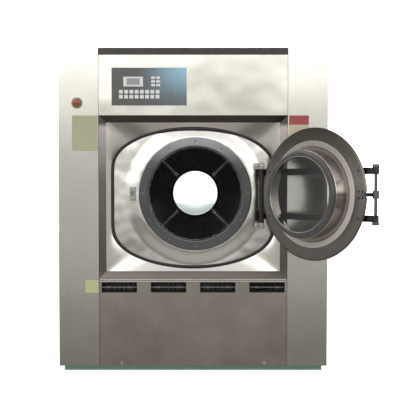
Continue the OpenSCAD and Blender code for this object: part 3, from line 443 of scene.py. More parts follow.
def clear_glass(name, base):
    """Thick clear door glass. Light from the lamps passes straight through it."""
    material, tree, shader = start_material(
        name, {"Transmission Weight": 1.0, "Roughness": 0.0, "IOR": 1.25})
    surface = pattern(tree, "Moulded surface", moulded_group)
    feed(tree, shader, {"Base Color": tinted(tree, surface["Tone"], base, 0.02)})
    lamp_ray = add(tree, "ShaderNodeLightPath").outputs["Is Shadow Ray"]
    passing = add(tree, "ShaderNodeBsdfTransparent", {"Color": (*base, 1)}).outputs[0]
    solid = tree.nodes["Principled BSDF"].outputs[0]
    choice = add(tree, "ShaderNodeMixShader", {0: lamp_ray, 1: solid, 2: passing})
    end = next(n for n in tree.nodes if n.type == "OUTPUT_MATERIAL")
    feed(tree, end.inputs, {"Surface": choice.outputs[0]})
    return material


def make_materials():
    """All finishes by name."""
    c = colours()
    return {
        "front": steel("front steel", c.front_steel, (1, 1, 0.02), 0.1, 0.18, 0.008, 1.6, 0.3),
        "column": steel("column steel", c.column_steel, (1, 1, 0.015), 0.12, 0.2, 0.003, 0.9,
                        0.25),
        "lower": steel("lower steel", c.lower_steel, (1, 1, 0.015), 0.16, 0.26, 0.003, 1.1),
        "side": steel("side steel", c.side_steel, (1, 1, 0.02), 0.26, 0.4, 0.004, 1.0),
        "recess": steel("recess steel", c.recess_steel, (1, 1, 0.03), 0.1, 0.18, 0.004, 2.2, 0.3),
        "dome": steel("tub front steel", c.tub_front, (1, 1, 0.03), 0.15, 0.25, 0.013, 3.0, 0.3),
        "strip": strip_steel("strip steel", c.strip_steel),
        "bright": steel("bright steel", (0.62, 0.62, 0.6), (1, 1, 0.2), 0.15, 0.3),
        "disc": lit_disc("polished disc", (0.95, 0.98, 0.98)),
        # Drum steel painted dark for the shade inside the drum.
        "drum": moulded("drum steel", c.drum, 0.2, 0.34, 300, 0.1, 0.7, spread=0.3),
        "rib": moulded("lifter steel", (0.8, 0.8, 0.8), 0.25, 0.4, 300, 0.1, 0.3),
        "edge": moulded("polished fold", (0.62, 0.61, 0.58), 0.15, 0.25, 300, 0.05, 0.3),
        "tub": steel("tub steel", (0.2, 0.195, 0.19), (1, 1, 0.2), 0.3, 0.45),
        "bracket": moulded("hinge steel", (0.42, 0.40, 0.37), 0.2, 0.32, 200, 0.3, 0.7),
        "door": flange_steel("door ring steel", c.door_ring),
        "cone": steel("door cone steel", (0.44, 0.40, 0.37), (0.4, 0.4, 1), 0.16, 0.3, 0.004, 3.0),
        "clamp": ring_paint("clamp ring paint", c.clamp_ring),
        # Top trim painted near black for the shadow of its gap.
        "trim": moulded("dark trim paint", c.dark_trim, 0.3, 0.42),
        "arm": moulded("arm paint", (0.007, 0.007, 0.007), 0.4, 0.5),
        "rod": moulded("latch rod steel", (0.13, 0.13, 0.125), 0.25, 0.38, 300, 0.1, 0.8),
        "rubber": moulded("black rubber", c.rubber, 0.5, 0.66, 700, 0.2),
        "gasket": gasket_rubber("door gasket rubber", c.gasket),
        "glass_ring": moulded("glass ring rubber", (0.075, 0.072, 0.068), 0.25, 0.4),
        "film": film_with_painted_sheen("keypad film", c.keypad),
        "key": moulded("key film", c.keys, 0.4, 0.5, 900),
        "display": moulded("display window", (0.33, 0.36, 0.37), 0.1, 0.2, 900, 0.02, coat=0.6),
        "stop": moulded("stop button plastic", c.stop, 0.2, 0.34, 300, 0.04, coat=0.5),
        "stop_ring": moulded("stop ring plastic", c.stop_ring, 0.3, 0.45),
        "black": moulded("black plastic", (0.014, 0.014, 0.014), 0.4, 0.55),
        "tray": moulded("grille tray", (0.006, 0.006, 0.006), 0.7, 0.9),
        "bar": moulded("grille bar", (0.16, 0.16, 0.16), 0.3, 0.42, 300, 0.1, 0.8),
        "base": moulded("base paint", c.base, 0.42, 0.6, 220, 0.2),
        "paint": moulded("frame paint", (0.12, 0.125, 0.13), 0.45, 0.6, 200, 0.2),
        "box": moulded("box paint", (0.48, 0.47, 0.43), 0.4, 0.55, 500, 0.3),
        "motor": moulded("motor paint", (0.05, 0.09, 0.14), 0.4, 0.55, 300, 0.3),
        "iron": moulded("cast iron", (0.09, 0.09, 0.095), 0.45, 0.65, 180, 0.4, 0.6),
        "brass": moulded("brass", (0.52, 0.36, 0.12), 0.25, 0.4, 300, 0.1, 1.0),
        "pipe": moulded("grey pipe", (0.17, 0.175, 0.18), 0.4, 0.55),
        "olive": moulded("olive plate", c.olive_plate, 0.4, 0.55, 600, 0.08),
        "cream": moulded("cream plate", c.cream_plate, 0.4, 0.55, 600, 0.08),
        "bolt": moulded("bolt zinc", (0.45, 0.45, 0.44), 0.2, 0.3, 300, 0.05, 0.8),
        "ring_bolt": moulded("ring bolt zinc", (0.17, 0.175, 0.175), 0.25, 0.35, 300, 0.05, 0.8),
        "yellow": moulded("yellow plate", c.yellow_plate, 0.4, 0.55, 600, 0.08),
        "red": moulded("red plate", c.red_plate, 0.35, 0.5, 600, 0.08),
        "glass": clear_glass("door glass", (0.95, 0.98, 0.97)),
    }


MATERIALS = {}


def finish(name):
    """A finish, made with all the others on first use."""
    if not MATERIALS:
        MATERIALS.update(make_materials())
    return MATERIALS[name]


# Meshes

def soft_edges(obj, width):
    """A small bevel on the sharp edges, so that they catch the light."""
    bevel = obj.modifiers.new("edge round", "BEVEL")
    bevel.width = width
    bevel.segments = 2
    bevel.limit_method = "ANGLE"
    bevel.angle_limit = math.radians(35)
    bevel.harden_normals = True


def dress(*rows):
    """Gives pieces of the mechanical model a finish and, where wanted, rounded edges."""
    for node, name, width in rows:
        obj = NODES[node]
        obj.data.materials.clear()
        obj.data.materials.append(finish(name))
        if width:
            soft_edges(obj, width)


def in_scene(name, data):
    """A new object of the scene."""
    obj = bpy.data.objects.new(name, data)
    bpy.context.scene.collection.objects.link(obj)
    return obj


def to_mesh(name, bm):
    """A mesh from what was drawn."""
    mesh = bpy.data.meshes.new(name)
    bm.to_mesh(mesh)
    bm.free()
    return mesh


def sharpen_rims(mesh):
    """Marks a sheet's open edges as sharp, so that its shading stops there."""
    uses = [0] * len(mesh.edges)
    for loop in mesh.loops:
        uses[loop.edge_index] += 1
    for edge, count in zip(mesh.edges, uses):
        if count == 1:
            edge.use_edge_sharp = True


def new_piece(name, bm, body, finish_name, smooth=True, crease=38):
    """Adds a mesh as a piece, which moves with a body when one is given."""
    bmesh.ops.recalc_face_normals(bm, faces=bm.faces)
    mesh = to_mesh(name, bm)
    for face in mesh.polygons:
        face.use_smooth = smooth
    if smooth:
        mesh.set_sharp_from_angle(angle=math.radians(crease))
        sharpen_rims(mesh)
    obj = in_scene(name, mesh)
    obj.data.materials.append(finish(finish_name))
    if body:
        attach(obj, body)
    return obj


def full_turn(steps, start=0.0):
    """Angles of a full turn, started a share of a step further on."""
    return [2 * math.pi * (i + start) / steps for i in range(steps)]


def circle(bm, centre, radii, y):
    """Points round a line along Y through a centre, one for each radius."""
    x0, y0, z0 = centre
    return [bm.verts.new((x0 + r * math.cos(a), y0 + y, z0 + r * math.sin(a)))
            for r, a in zip(radii, full_turn(len(radii)))]


def bridge(bm, rows, ends="capped"):
    """Faces from each closed row of points to the next. The ends are capped, joined or open."""
    for a, b in zip(rows, rows[1:] + rows[:1] if ends == "joined" else rows[1:]):
        for i in range(len(a)):
            j = (i + 1) % len(a)
            corners = list(dict.fromkeys((a[i], a[j], b[j], b[i])))
            if len(corners) > 2:
                bm.faces.new(corners)
    if ends == "capped":
        bm.faces.new(rows[0])
        bm.faces.new(rows[-1])


def lathe(bm, profile, centre, ends="joined"):
    """Turns a profile of (radius, distance along Y) about a line along Y through a point."""
    n = sizes().mesh_steps
    rows = []
    for r, y in profile:
        if r:
            rows.append(circle(bm, centre, [r] * n, y))
        else:
            rows.append([bm.verts.new((centre[0], centre[1] + y, centre[2]))] * n)
    bridge(bm, rows, ends)


def slab(bm, middle, size, corner, y_back, y_front, round_edge=0.0):
    """A plate with round corners from y_back to y_front, its front edge rounded."""
    corner_steps = 5
    layers = [(y_back, 0.0), (y_front, 0.0)]
    if round_edge:
        layers = [(y_back, 0.0), (y_front + round_edge, 0.0),
                  (y_front + round_edge * 0.3, round_edge * 0.3), (y_front, round_edge)]
    rows = [[] for _ in layers]
    for side_x, side_z, start in ((1, 1, 0), (-1, 1, 90), (-1, -1, 180), (1, -1, 270)):
        for k in range(corner_steps + 1):
            a = math.radians(start + 90 * k / corner_steps)
            x = side_x * (size[0] / 2 - corner) + corner * math.cos(a)
            z = side_z * (size[1] / 2 - corner) + corner * math.sin(a)
            r = math.hypot(x, z)
            for row, (y, inset) in zip(rows, layers):
                share = (r - inset * 1.2) / r
                row.append(bm.verts.new((middle[0] + x * share, y, middle[1] + z * share)))
    bridge(bm, rows)


def cut_opening(bm, low, high, room=0.0012):
    """Cuts a square-cornered opening, a little wider than a box, through a sheet facing front."""
    x0, x1, z0, z1 = low.x - room, high.x + room, low.z - room, high.z + room
    for at, direction in (((x0, 0, 0), (1, 0, 0)), ((x1, 0, 0), (1, 0, 0)),
                          ((0, 0, z0), (0, 0, 1)), ((0, 0, z1), (0, 0, 1))):
        near = []
        for face in bm.faces:
            xs = [v.co.x for v in face.verts]
            zs = [v.co.z for v in face.verts]
            if min(xs) < x1 and max(xs) > x0 and min(zs) < z1 and max(zs) > z0:
                near.append(face)
        parts = near + list(dict.fromkeys(e for f in near for e in f.edges))
        parts += dict.fromkeys(v for f in near for v in f.verts)
        bmesh.ops.bisect_plane(bm, geom=parts, plane_co=at, plane_no=direction, dist=1e-6)
    inside = []
    for face in bm.faces:
        middle = face.calc_center_median()
        if x0 < middle.x < x1 and z0 < middle.z < z1:
            inside.append(face)
    bmesh.ops.delete(bm, geom=inside, context="FACES")


def screw_head(bm, centre, radius, height, turn=0.0):
    """A domed head facing the viewer, with a six-sided recess for the key."""
    n, side = 24, math.pi / 3
    recess = [radius * 0.38 * math.cos(side / 2) / math.cos((a + turn) % side - side / 2)
              for a in full_turn(n)]
    dome = [([radius * size] * n, share)
            for size, share in ((1, 0), (1, 0.55), (0.9, 0.85), (0.55, 1))]
    rows = dome + [(recess, 1), (recess, 0.35)]
    bridge(bm, [circle(bm, centre, radii, -height * share) for radii, share in rows])


def mouth_point(t, grow):
    """A point of the mouth: bowed above and below, straight beside, grown by a margin."""
    c, s = abs(math.cos(t)), abs(math.sin(t))
    reach = 1.0
    for _ in range(12):
        u = min(1.0, reach * c)
        bow = 1 - 0.25 * u ** 2 - 0.10 * u ** 4
        sides = c ** CORNER_SQUARENESS + (s / bow) ** CORNER_SQUARENESS
        reach = sides ** (-1 / CORNER_SQUARENESS)
    return (
        (MOUTH_A + grow) * math.copysign(reach * c, math.cos(t)),
        MOUTH_Z + (MOUTH_B + grow) * math.copysign(reach * s, math.sin(t)),
    )


class LaundryStep(bpy.types.Operator):
    """Base of the building steps"""

    bl_options = {"REGISTER", "UNDO"}


class LAUNDRY_OT_stage(LaundryStep):
    """Makes the floor, the light and the camera"""

    bl_idname = "laundry.stage"
    bl_label = "Stage"

    def execute(self, context):
        s = context.scene.laundry_stage
        data = bpy.data.cameras.new("camera")
        data.lens = s.lens
        data.sensor_width = 36.0
        data.shift_x = 0.035
        data.shift_y = 0.0415
        camera = in_scene("camera", data)
        camera.location = (AXIS_X, FRONT_Y - s.camera_distance, s.camera_height)
        camera.rotation_euler = (math.pi / 2 - s.camera_pitch, 0, 0)
        context.scene.camera = camera
        context.scene.view_settings.view_transform = "Standard"
        self.floor()
        self.sky(context)
        self.lamps()
        return {"FINISHED"}

    def floor(self):
        """A plain pale floor that mirrors don't see."""
        bm = bmesh.new()
        bmesh.ops.create_grid(bm, x_segments=4, y_segments=4, size=14.0)
        floor = in_scene("floor", to_mesh("floor", bm))
        floor.visible_glossy = False
        material, tree, shader = start_material(
            "pale floor", {"Roughness": 0.7, "Emission Color": (1, 1, 1, 1)})
        speckle = add(tree, "ShaderNodeTexNoise", {"Scale": 3.0, "Detail": 3.0})
        seen = add(tree, "ShaderNodeLightPath").outputs["Is Camera Ray"]
        feed(tree, shader, {
            "Base Color": tinted(tree, speckle.outputs["Fac"], (0.86, 0.86, 0.86), 0.01),
            "Emission Strength": times(tree, seen, 0.75),
        })
        floor.data.materials.append(material)

    def sky(self, context):
        """A white room whose reflection darkens towards the floor."""
        world = bpy.data.worlds.new("studio")
        context.scene.world = world
        world.use_nodes = True
        tree = world.node_tree
        tree.nodes.clear()
        stops = [(0.0, (0.36, 0.34, 0.32)), (0.30, (0.30, 0.285, 0.265)),
                 (0.40, (0.13, 0.125, 0.115)), (0.43, (0.20, 0.195, 0.18)),
                 (0.465, (0.40, 0.395, 0.37)), (0.522, (0.40, 0.40, 0.385)),
                 (0.548, (0.74, 0.74, 0.70)), (0.582, (1.75, 1.75, 1.72)),
                 (0.615, (1.1, 1.1, 1.06)), (0.66, (0.74, 0.73, 0.71)),
                 (1.0, (0.62, 0.62, 0.62))]
        around = add(tree, "ShaderNodeTexCoord").outputs["Generated"]
        up = add(tree, "ShaderNodeSeparateXYZ", {0: around}).outputs["Z"]
        room = ramp(tree, remap(tree, up, -1.0, 1.0), stops, "EASE")
        white = (1, 1, 1, 1)
        seen, soft, mirrored = (
            add(tree, "ShaderNodeBackground", {"Color": tone, "Strength": power}).outputs[0]
            for tone, power in ((white, 4.0), (white, 0.5), (room, 1.6)))
        rays = add(tree, "ShaderNodeLightPath").outputs
        direct = add(tree, "ShaderNodeMixShader", {0: rays["Is Camera Ray"], 1: soft, 2: seen})
        mix = add(tree, "ShaderNodeMixShader",
                  {0: rays["Is Glossy Ray"], 1: direct.outputs[0], 2: mirrored})
        add(tree, "ShaderNodeOutputWorld", {"Surface": mix.outputs[0]})

    def lamps(self):
        """Soft boxes in front and above."""
        for name, spot, size, power in (
            ("front box", (-2.2, -4.6, 3.4), 2.4, 30),
            ("right box", (3.2, -3.4, 2.6), 1.8, 18),
            ("top box", (0.0, 0.0, 4.6), 3.6, 30),
        ):
            data = bpy.data.lights.new(name, "AREA")
            data.shape = "DISK"
            data.size = size
            data.energy = power
            lamp = in_scene(name, data)
            lamp.location = spot
            aim = Vector((0, -0.3, 0.9)) - Vector(spot)
            lamp.rotation_euler = aim.to_track_quat("-Z", "Y").to_euler()


class LAUNDRY_OT_cabinet(LaundryStep):
    """Finishes the cabinet's panels, frame and connections"""

    bl_idname = "laundry.cabinet"
    bl_label = "Cabinet"

    def execute(self, context):
        edge = sizes().edge_round
        dress(
            ("left_column", "column", edge), ("right_column", "column", edge),
            ("control_housing", "front", edge), ("lower_front_panel", "lower", edge),
            ("left_side_panel", "side", 0), ("right_side_panel", "side", 0),
            ("top_cover", "side", 0), ("rear_panel", "side", 0), ("top_trim", "trim", edge),
            ("bezel_strips", "strip", 0.0006), ("base_frame", "base", 0.002),
            ("main_frame", "paint", 0.002), ("water_inlets", "brass", 0.0008),
            ("steam_inlet", "bright", 0.001), ("drain_outlet", "pipe", 0.001),
            ("cable_gland", "black", 0.0008), ("electrical_box", "box", 0.002),
            ("vent_trays", "tray", 0), ("vent_bars", "bar", 0),
            ("panel_screws", "bright", 0.0006),
        )
        self.folded_edges()
        return {"FINISHED"}

    def folded_edges(self):
        """Polished round folds along the lower panel's top edge and the sill above it."""
        lo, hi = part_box("lower_front_panel")
        inset, steps = 0.004, 6
        bm = bmesh.new()
        for down, radius in ((0.0035, 0.0030), (0.0150, 0.0020)):
            rows = []
            for x in (lo.x + inset, hi.x - inset):
                row = []
                for k in range(steps + 1):
                    a = math.pi * k / steps
                    row.append(bm.verts.new((x, FRONT_Y - radius * 0.6 * math.sin(a),
                                             hi.z - down + radius * math.cos(a))))
                rows.append(row)
            bridge(bm, rows)
        new_piece("folded_edges", bm, "cabinet", "edge")


class LAUNDRY_OT_recess(LaundryStep):
    """Makes the funnel panel and the rubber profile on its edge"""

    bl_idname = "laundry.recess"
    bl_label = "Door recess"

    def execute(self, context):
        self.funnel()
        self.seal()
        return {"FINISHED"}

    def funnel(self):
        """The sheet that narrows from the panel's outline to the mouth."""
        lo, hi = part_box("funnel_panel")
        half_w, half_h = (hi.x - lo.x) / 2, (hi.z - lo.z) / 2
        mid_z = (hi.z + lo.z) / 2
        under_profile, bands = 0.0075, 8
        bm = bmesh.new()
        rows = [[] for _ in range(bands + 1)]
        for t in full_turn(MOUTH_STEPS):
            mx, mz = mouth_point(t, under_profile)
            u, v = mx / MOUTH_A, (mz - MOUTH_Z) / MOUTH_B
            s = 1 / max(abs(u), abs(v))
            ox, oz = u * s * half_w, mid_z + v * s * half_h
            for k, row in enumerate(rows):
                f = k / bands
                row.append(bm.verts.new(
                    (ox + (mx - ox) * f, lo.y + (MOUTH_Y - lo.y) * f, oz + (mz - oz) * f)))
        for row, thick in ((rows[-1], 0.002), (rows[0], 0.0018)):
            rows.append([bm.verts.new((v.co.x, v.co.y + thick, v.co.z)) for v in row])
        bridge(bm, rows, "joined")
        piece = new_piece("funnel_panel_sheet", bm, "cabinet", "recess",
                          crease=12)
        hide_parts("funnel_panel")

    def seal(self):
        """The rubber profile round the mouth. Its section is a rounded square."""
        half_w, half_d = 0.0074, (SEAL_HI.y - SEAL_LO.y) / 2

        def squared(value):
            return math.copysign(abs(value) ** 0.6, value)
        bm = bmesh.new()
        rows = []
        for t in full_turn(MOUTH_STEPS, 0.5):
            row = []
            for a in full_turn(12):
                x, z = mouth_point(t, half_w * squared(math.cos(a)))
                row.append(bm.verts.new((x, MOUTH_Y + half_d * squared(math.sin(a)), z)))
            rows.append(row)
        bridge(bm, rows, "joined")
        piece = new_piece("funnel_edge_profile", bm, "cabinet", "rubber")
        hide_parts("seal_strip")


class LAUNDRY_OT_tub(LaundryStep):
    """Makes the tub's domed front, the springs, the ring's bolts and the fittings' screws"""

    bl_idname = "laundry.tub"
    bl_label = "Tub"

    def execute(self, context):
        dress(
            ("tub_shell", "tub", 0), ("tub_front_plate", "tub", 0),
            ("clamp_ring", "clamp", 0.001),
            ("hinge_bracket", "bracket", 0.0025), ("hinge_pin", "bright", 0.001),
            ("catch_plate", "bracket", 0.0015), ("door_sensor", "black", 0.001),
            ("bearing_housing", "iron", 0.002), ("shaft_bearings", "bright", 0),
            ("drive_motor", "motor", 0.001), ("tub_supports", "paint", 0.002),
            ("drive_belts", "rubber", 0), ("drain_valve", "pipe", 0.002),
        )
        self.dome()
        self.coils()
        self.ring_bolts()
        self.fitting_screws()
        return {"FINISHED"}

    def dome(self):
        """The sheet that rises to the clamp ring. Its rise ends inside the mouth's profile all
        round, so that the profile has room when the tub lifts on its springs."""
        lo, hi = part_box("tub_front_panel")
        rise, widest, bands, steps = 0.0125, 0.400, 20, 160
        under_ring = 0.033
        inside = 0.72  # share of the rise that lies inside the profile
        centre = (AXIS_X, lo.y, AXIS_Z)
        angles = full_turn(steps)
        ends = []
        for x, z in self.outline(0, angles):
            lip = math.hypot(x - AXIS_X, z - AXIS_Z) - PROFILE_LIP
            ends.append(min(widest, RING_RADIUS + (lip - TUB_TRAVEL - RING_RADIUS) / inside))
        bm = bmesh.new()
        rows = [circle(bm, centre, [RING_RADIUS - under_ring] * steps, 0.0)]
        for k in range(bands + 1):
            radii = [RING_RADIUS + (end - RING_RADIUS) * k / bands for end in ends]
            rows.append(circle(bm, centre, radii, rise * (1 - math.cos(math.pi * k / bands)) / 2))
        edge = self.outline((hi.x - lo.x) / 2 - MOUTH_A, angles)
        flat = lo.y + rise
        for size, y in ((0.985, flat), (0.998, flat + 0.001), (1.0, flat + 0.006), (1.0, hi.y)):
            rows.append([
                bm.verts.new((x * size, y, MOUTH_Z + (z - MOUTH_Z) * size)) for x, z in edge])
        bridge(bm, rows, "open")
        low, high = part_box("catch_plate")
        cut_opening(bm, low, high)
        low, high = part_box("hinge_bracket")
        lug = 0.032
        cut_opening(bm, low, Vector((high.x, high.y, low.z + lug)))
        cut_opening(bm, Vector((low.x, low.y, high.z - lug)), high)
        piece = new_piece("tub_front_sheet", bm, "tub", "dome")
        thick = piece.modifiers.new("sheet", "SOLIDIFY")
        thick.thickness = 0.0025
        thick.offset = -1
        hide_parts("tub_front_panel")

    def outline(self, grow, angles):
        """Where rays at angles about the drum axis meet the mouth, grown by a margin."""
        points = [mouth_point(math.pi * k / 720, grow) for k in range(1440)]

        def miss(point, angle):
            turn = math.atan2(point[1] - AXIS_Z, point[0] - AXIS_X) - angle
            return abs((turn + math.pi) % (2 * math.pi) - math.pi)
        return [min(points, key=lambda point: miss(point, angle)) for angle in angles]

    def coils(self):
        """Four springs, each one wire whose end turns lie flat on their seats."""
        lo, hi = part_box("suspension_springs")
        wire, radius, turns, per_turn, sides = 0.007, 0.0388, 6, 24, 10
        height = hi.z - lo.z
        ground = wire * 0.3
        end_pitch = 2 * wire + 0.0005
        pitch = (height - 2 * ground - 2 * end_pitch) / (turns - 2)
        out = radius + wire
        bm = bmesh.new()
        for x, y in ((lo.x + out, lo.y + out), (lo.x + out, hi.y - out),
                     (hi.x - out, lo.y + out), (hi.x - out, hi.y - out)):
            rows = []
            for i in range(turns * per_turn + 1):
                t = i / per_turn
                a = 2 * math.pi * t
                middle = (ground + end_pitch * (min(t, 1) + max(0, t - turns + 1))
                          + pitch * min(max(0, t - 1), turns - 2))
                row = []
                for b in full_turn(sides):
                    r = radius + wire * math.cos(b)
                    up = min(max(middle + wire * math.sin(b), 0.0), height)
                    row.append(bm.verts.new(
                        (x + r * math.cos(a), y + r * math.sin(a), lo.z + up)))
                rows.append(row)
            bridge(bm, rows)
        piece = new_piece("suspension_coils", bm, None, "paint")
        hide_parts("suspension_springs")
        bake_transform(piece)

    def ring_bolts(self):
        """Twelve bolts round the clamp ring."""
        lo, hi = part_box("ring_bolts")
        reach = (hi.x - lo.x) / 2 - 0.008
        bm = bmesh.new()
        for k, a in enumerate(full_turn(12)):
            x, z = AXIS_X + reach * math.cos(a), AXIS_Z + reach * math.sin(a)
            screw_head(bm, (x, RING_FACE + SUNK, z), sizes().ring_bolt, 0.0042, k)
        piece = new_piece("clamp_ring_bolts", bm, "tub", "ring_bolt")
        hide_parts("ring_bolts")

    def fitting_screws(self):
        """Screws on the catch plate and on the hinge bracket's two lugs."""
        lo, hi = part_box("catch_plate")
        apart = 0.028
        bm = bmesh.new()
        for z in (AXIS_Z - apart, AXIS_Z + apart):
            screw_head(bm, ((lo.x + hi.x) / 2, lo.y + SUNK, z), 0.0062, 0.003)
        new_piece("catch_screws", bm, "tub", "bolt")
        lo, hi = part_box("hinge_bracket")
        half_lug, from_edge, lug_depth = 0.016, 0.010, 0.0194
        bm = bmesh.new()
        for z in (lo.z + half_lug, hi.z - half_lug):
            screw_head(bm, (lo.x + from_edge, DOOR_FACE + lug_depth, z), 0.0085, 0.004)
            screw_head(bm, (HINGE.x, HINGE.y - half_lug + 0.0006, z), 0.0075, 0.003)
        new_piece("hinge_screws", bm, "tub", "bolt")


class LAUNDRY_OT_drum(LaundryStep):
    """Finishes the drum and makes its polished disc and lifters"""

    bl_idname = "laundry.drum"
    bl_label = "Drum"

    def execute(self, context):
        dress(
            ("drum_shell", "drum", 0), ("drum_front_plate", "bright", 0),
            ("drum_rear_wall", "drum", 0), ("main_shaft", "bright", 0.002),
            ("drum_pulley", "iron", 0.002), ("motor_pulley", "iron", 0.001),
        )
        self.disc()
        self.ribs()
        return {"FINISHED"}

    def disc(self):
        """Polished disc in the middle of the rear wall."""
        lo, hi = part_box("drum_rear_wall")
        r, thick = 0.1345, 0.0016
        profile = [(0, -thick), (r * 0.5, -thick), (r - 0.003, -0.0015), (r - 0.0008, -0.001),
                   (r, 0.0)]
        bm = bmesh.new()
        lathe(bm, profile, (AXIS_X, lo.y, AXIS_Z), "open")
        new_piece("drum_bright_disc", bm, "drum", "disc")

    def ribs(self):
        """Four folded lifters, broad at the wall and narrow at their crest."""
        lo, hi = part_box("drum_lifters")
        wall = (hi.x - lo.x) / math.sqrt(2) - 0.012
        crest = wall - 0.095
        front, back = lo.y, hi.y
        foot_half, crest_half = 0.0106, 0.0046
        # From front to back, the crest and the foot, each as (distance from the axis, depth)
        sections = [
            ((wall - 0.003, front + 0.0015), (wall, front)),
            ((crest, front + 0.085), (wall, front + 0.085)),
            ((crest, back - 0.139), (wall, back - 0.139)),
            ((crest - 0.005, back - 0.119), (wall, back - 0.001)),
            ((crest - 0.015, back - 0.079), (wall - 0.119, back - 0.020)),
            ((0.300, back - 0.110), (0.285, back - 0.074)),
            ((0.172, back - 0.1404), (0.151, back - 0.1272)),
        ]
        bm = bmesh.new()
        for turn in full_turn(4, 0.5):
            out_x, out_z = math.cos(turn), math.sin(turn)
            rows = []
            for top, foot in sections:
                row = []
                for (r, y), half in ((foot, foot_half), (top, crest_half),
                                     (top, -crest_half), (foot, -foot_half)):
                    row.append(bm.verts.new((AXIS_X + r * out_x - half * out_z, y,
                                             AXIS_Z + r * out_z + half * out_x)))
                rows.append(row)
            bridge(bm, rows)
        piece = new_piece("drum_ribs", bm, "drum", "rib")
        soft_edges(piece, 0.0018)
        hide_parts("drum_lifters")


class LAUNDRY_OT_door(LaundryStep):
    """Finishes the door and makes its cone sheet, glass trim and screws"""

    bl_idname = "laundry.door"
    bl_label = "Door"

    def execute(self, context):
        dress(
            ("door_ring", "door", 0.0008), ("door_gasket", "gasket", 0.001),
            ("glass_ring", "glass_ring", 0.001), ("door_glass", "glass", 0),
            ("door_arms", "arm", 0.0025), ("latch_rod", "rod", 0.0015),
        )
        self.cone()
        self.glass_trim()
        self.flange_screws()
        return {"FINISHED"}

    def on_door(self, name, bm, finish_name, slot):
        """Makes a piece drawn on the closed door and turns it to where the door stands open."""
        piece = new_piece(name, bm, "door", finish_name)
        turn = Matrix.Translation(HINGE) @ Matrix.Rotation(DOOR_ANGLE, 4, "Z")
        piece.data.transform(turn @ Matrix.Translation(-HINGE))

    def cone(self):
        """Brushed sheet of the cone, with a rolled bead where it meets the rim."""
        profile = [(0.2462, 0.003), (0.2466, 0.0036), (0.2362, 0.044), (0.2268, 0.08),
                   (0.2266, 0.0822), (0.2258, 0.0836), (0.2246, 0.0842), (0.224, 0.0838),
                   (0.225, 0.08), (0.235, 0.044), (0.245, 0.004)]
        bm = bmesh.new()
        lathe(bm, profile, (AXIS_X, DOOR_FACE, AXIS_Z))
        self.on_door("door_cone_sheet", bm, "cone", "door_metal")

    def glass_trim(self):
        """Bright edge round the free glass."""
        radius, depth = 0.1948, 0.1036
        profile = [(radius + 0.0012 * math.cos(a), depth + 0.0010 * math.sin(a))
                   for a in full_turn(8)]
        bm = bmesh.new()
        lathe(bm, profile, (AXIS_X, DOOR_FACE, AXIS_Z))
        self.on_door("glass_trim", bm, "bright", "bright_steel")

    def flange_screws(self):
        """Screws on the flange's inner face, four of them on the catch's side."""
        spots = [(x, z) for x in (-0.300, -0.322) for z in (0.016, -0.016)]
        for a in (22, 158, 202, 338):
            spots.append((0.318 * math.cos(math.radians(a)), 0.318 * math.sin(math.radians(a))))
        bm = bmesh.new()
        for x, z in spots:
            screw_head(bm, (-x - AXIS_X, -DOOR_FACE, AXIS_Z + z), 0.0052, 0.0022)
        half_turn = Matrix.Rotation(math.pi, 3, "Z")
        bmesh.ops.rotate(bm, verts=bm.verts, cent=(0, 0, 0), matrix=half_turn)
        self.on_door("flange_screws", bm, "arm", "arm_paint")


class LAUNDRY_OT_controls(LaundryStep):
    """Finishes the keypad and the stop button, and makes the display's glass"""

    bl_idname = "laundry.controls"
    bl_label = "Controls"

    def execute(self, context):
        dress(
            ("keypad_panel", "film", 0.001), ("stop_ring", "stop_ring", 0.0008),
            ("stop_stem", "black", 0.0004), ("stop_button", "stop", 0.0006),
            ("lcd_window", "key", 0.0006), ("program_keys", "key", 0.0004),
            ("function_keys", "key", 0.0004),
        )
        lo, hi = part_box("lcd_window")
        clear = 0.655  # share of the window that isn't its frame
        middle = ((lo.x + hi.x) / 2, (lo.z + hi.z) / 2)
        size = ((hi.x - lo.x) * clear, (hi.z - lo.z) * clear)
        bm = bmesh.new()
        slab(bm, middle, size, 0.002, lo.y + 0.0014, lo.y + 0.0006)
        new_piece("display_glass", bm, "cabinet", "display")
        return {"FINISHED"}


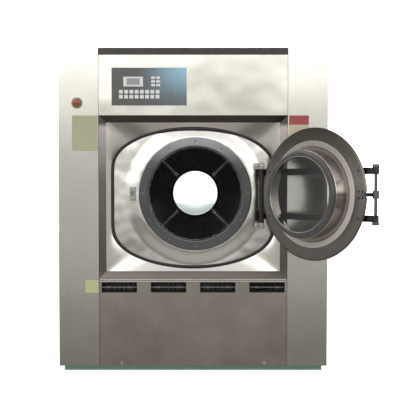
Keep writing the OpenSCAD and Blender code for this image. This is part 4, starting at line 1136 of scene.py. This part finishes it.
class LAUNDRY_OT_plates(LaundryStep):
    """Makes the bare plates on the columns"""

    bl_idname = "laundry.plates"
    bl_label = "Bare plates"

    def execute(self, context):
        thick, corner, edge = 0.0012, 0.003, 0.0004
        for name, finish_name, x_lo, x_hi, z_lo, z_hi in (
            ("olive_plate", "olive", -0.664, -0.523, 1.218, 1.411),
            ("yellow_plate", "yellow", -0.594, -0.523, 0.436, 0.507),
            ("red_plate", "red", 0.526, 0.634, 1.361, 1.411),
            ("cream_plate", "cream", 0.526, 0.634, 1.290, 1.3605),
        ):
            middle = ((x_lo + x_hi) / 2, (z_lo + z_hi) / 2)
            size = (x_hi - x_lo, z_hi - z_lo)
            bm = bmesh.new()
            slab(bm, middle, size, corner, FRONT_Y, FRONT_Y - thick, edge)
            new_piece(name, bm, "cabinet", finish_name, smooth=False)
        return {"FINISHED"}


class LAUNDRY_PT_steps(bpy.types.Panel):
    """Lists the building steps"""

    bl_label = "Laundry machine"
    bl_idname = "LAUNDRY_PT_steps"
    bl_space_type = "VIEW_3D"
    bl_region_type = "UI"
    bl_category = "Laundry machine"

    def draw(self, context):
        for step in STEPS:
            self.layout.operator(step.bl_idname)


STEPS = [
    LAUNDRY_OT_stage, LAUNDRY_OT_cabinet, LAUNDRY_OT_recess, LAUNDRY_OT_tub,
    LAUNDRY_OT_drum, LAUNDRY_OT_door, LAUNDRY_OT_controls, LAUNDRY_OT_plates,
]
SETTINGS = [LaundryColours, LaundrySizes, LaundryStage]


def register():
    """Registers the settings, the steps and the panel."""
    for item in SETTINGS + STEPS + [LAUNDRY_PT_steps]:
        bpy.utils.register_class(item)
    bpy.types.Scene.laundry_colours = PointerProperty(type=LaundryColours)
    bpy.types.Scene.laundry_sizes = PointerProperty(type=LaundrySizes)
    bpy.types.Scene.laundry_stage = PointerProperty(type=LaundryStage)


def unregister():
    """Takes them out again."""
    del bpy.types.Scene.laundry_stage
    del bpy.types.Scene.laundry_sizes
    del bpy.types.Scene.laundry_colours
    for item in reversed(SETTINGS + STEPS + [LAUNDRY_PT_steps]):
        bpy.utils.unregister_class(item)


def main():
    """Builds the machine."""
    register()
    for step in STEPS:
        area, call = step.bl_idname.split(".")
        getattr(getattr(bpy.ops, area), call)()


if __name__ == "__main__":
    main()
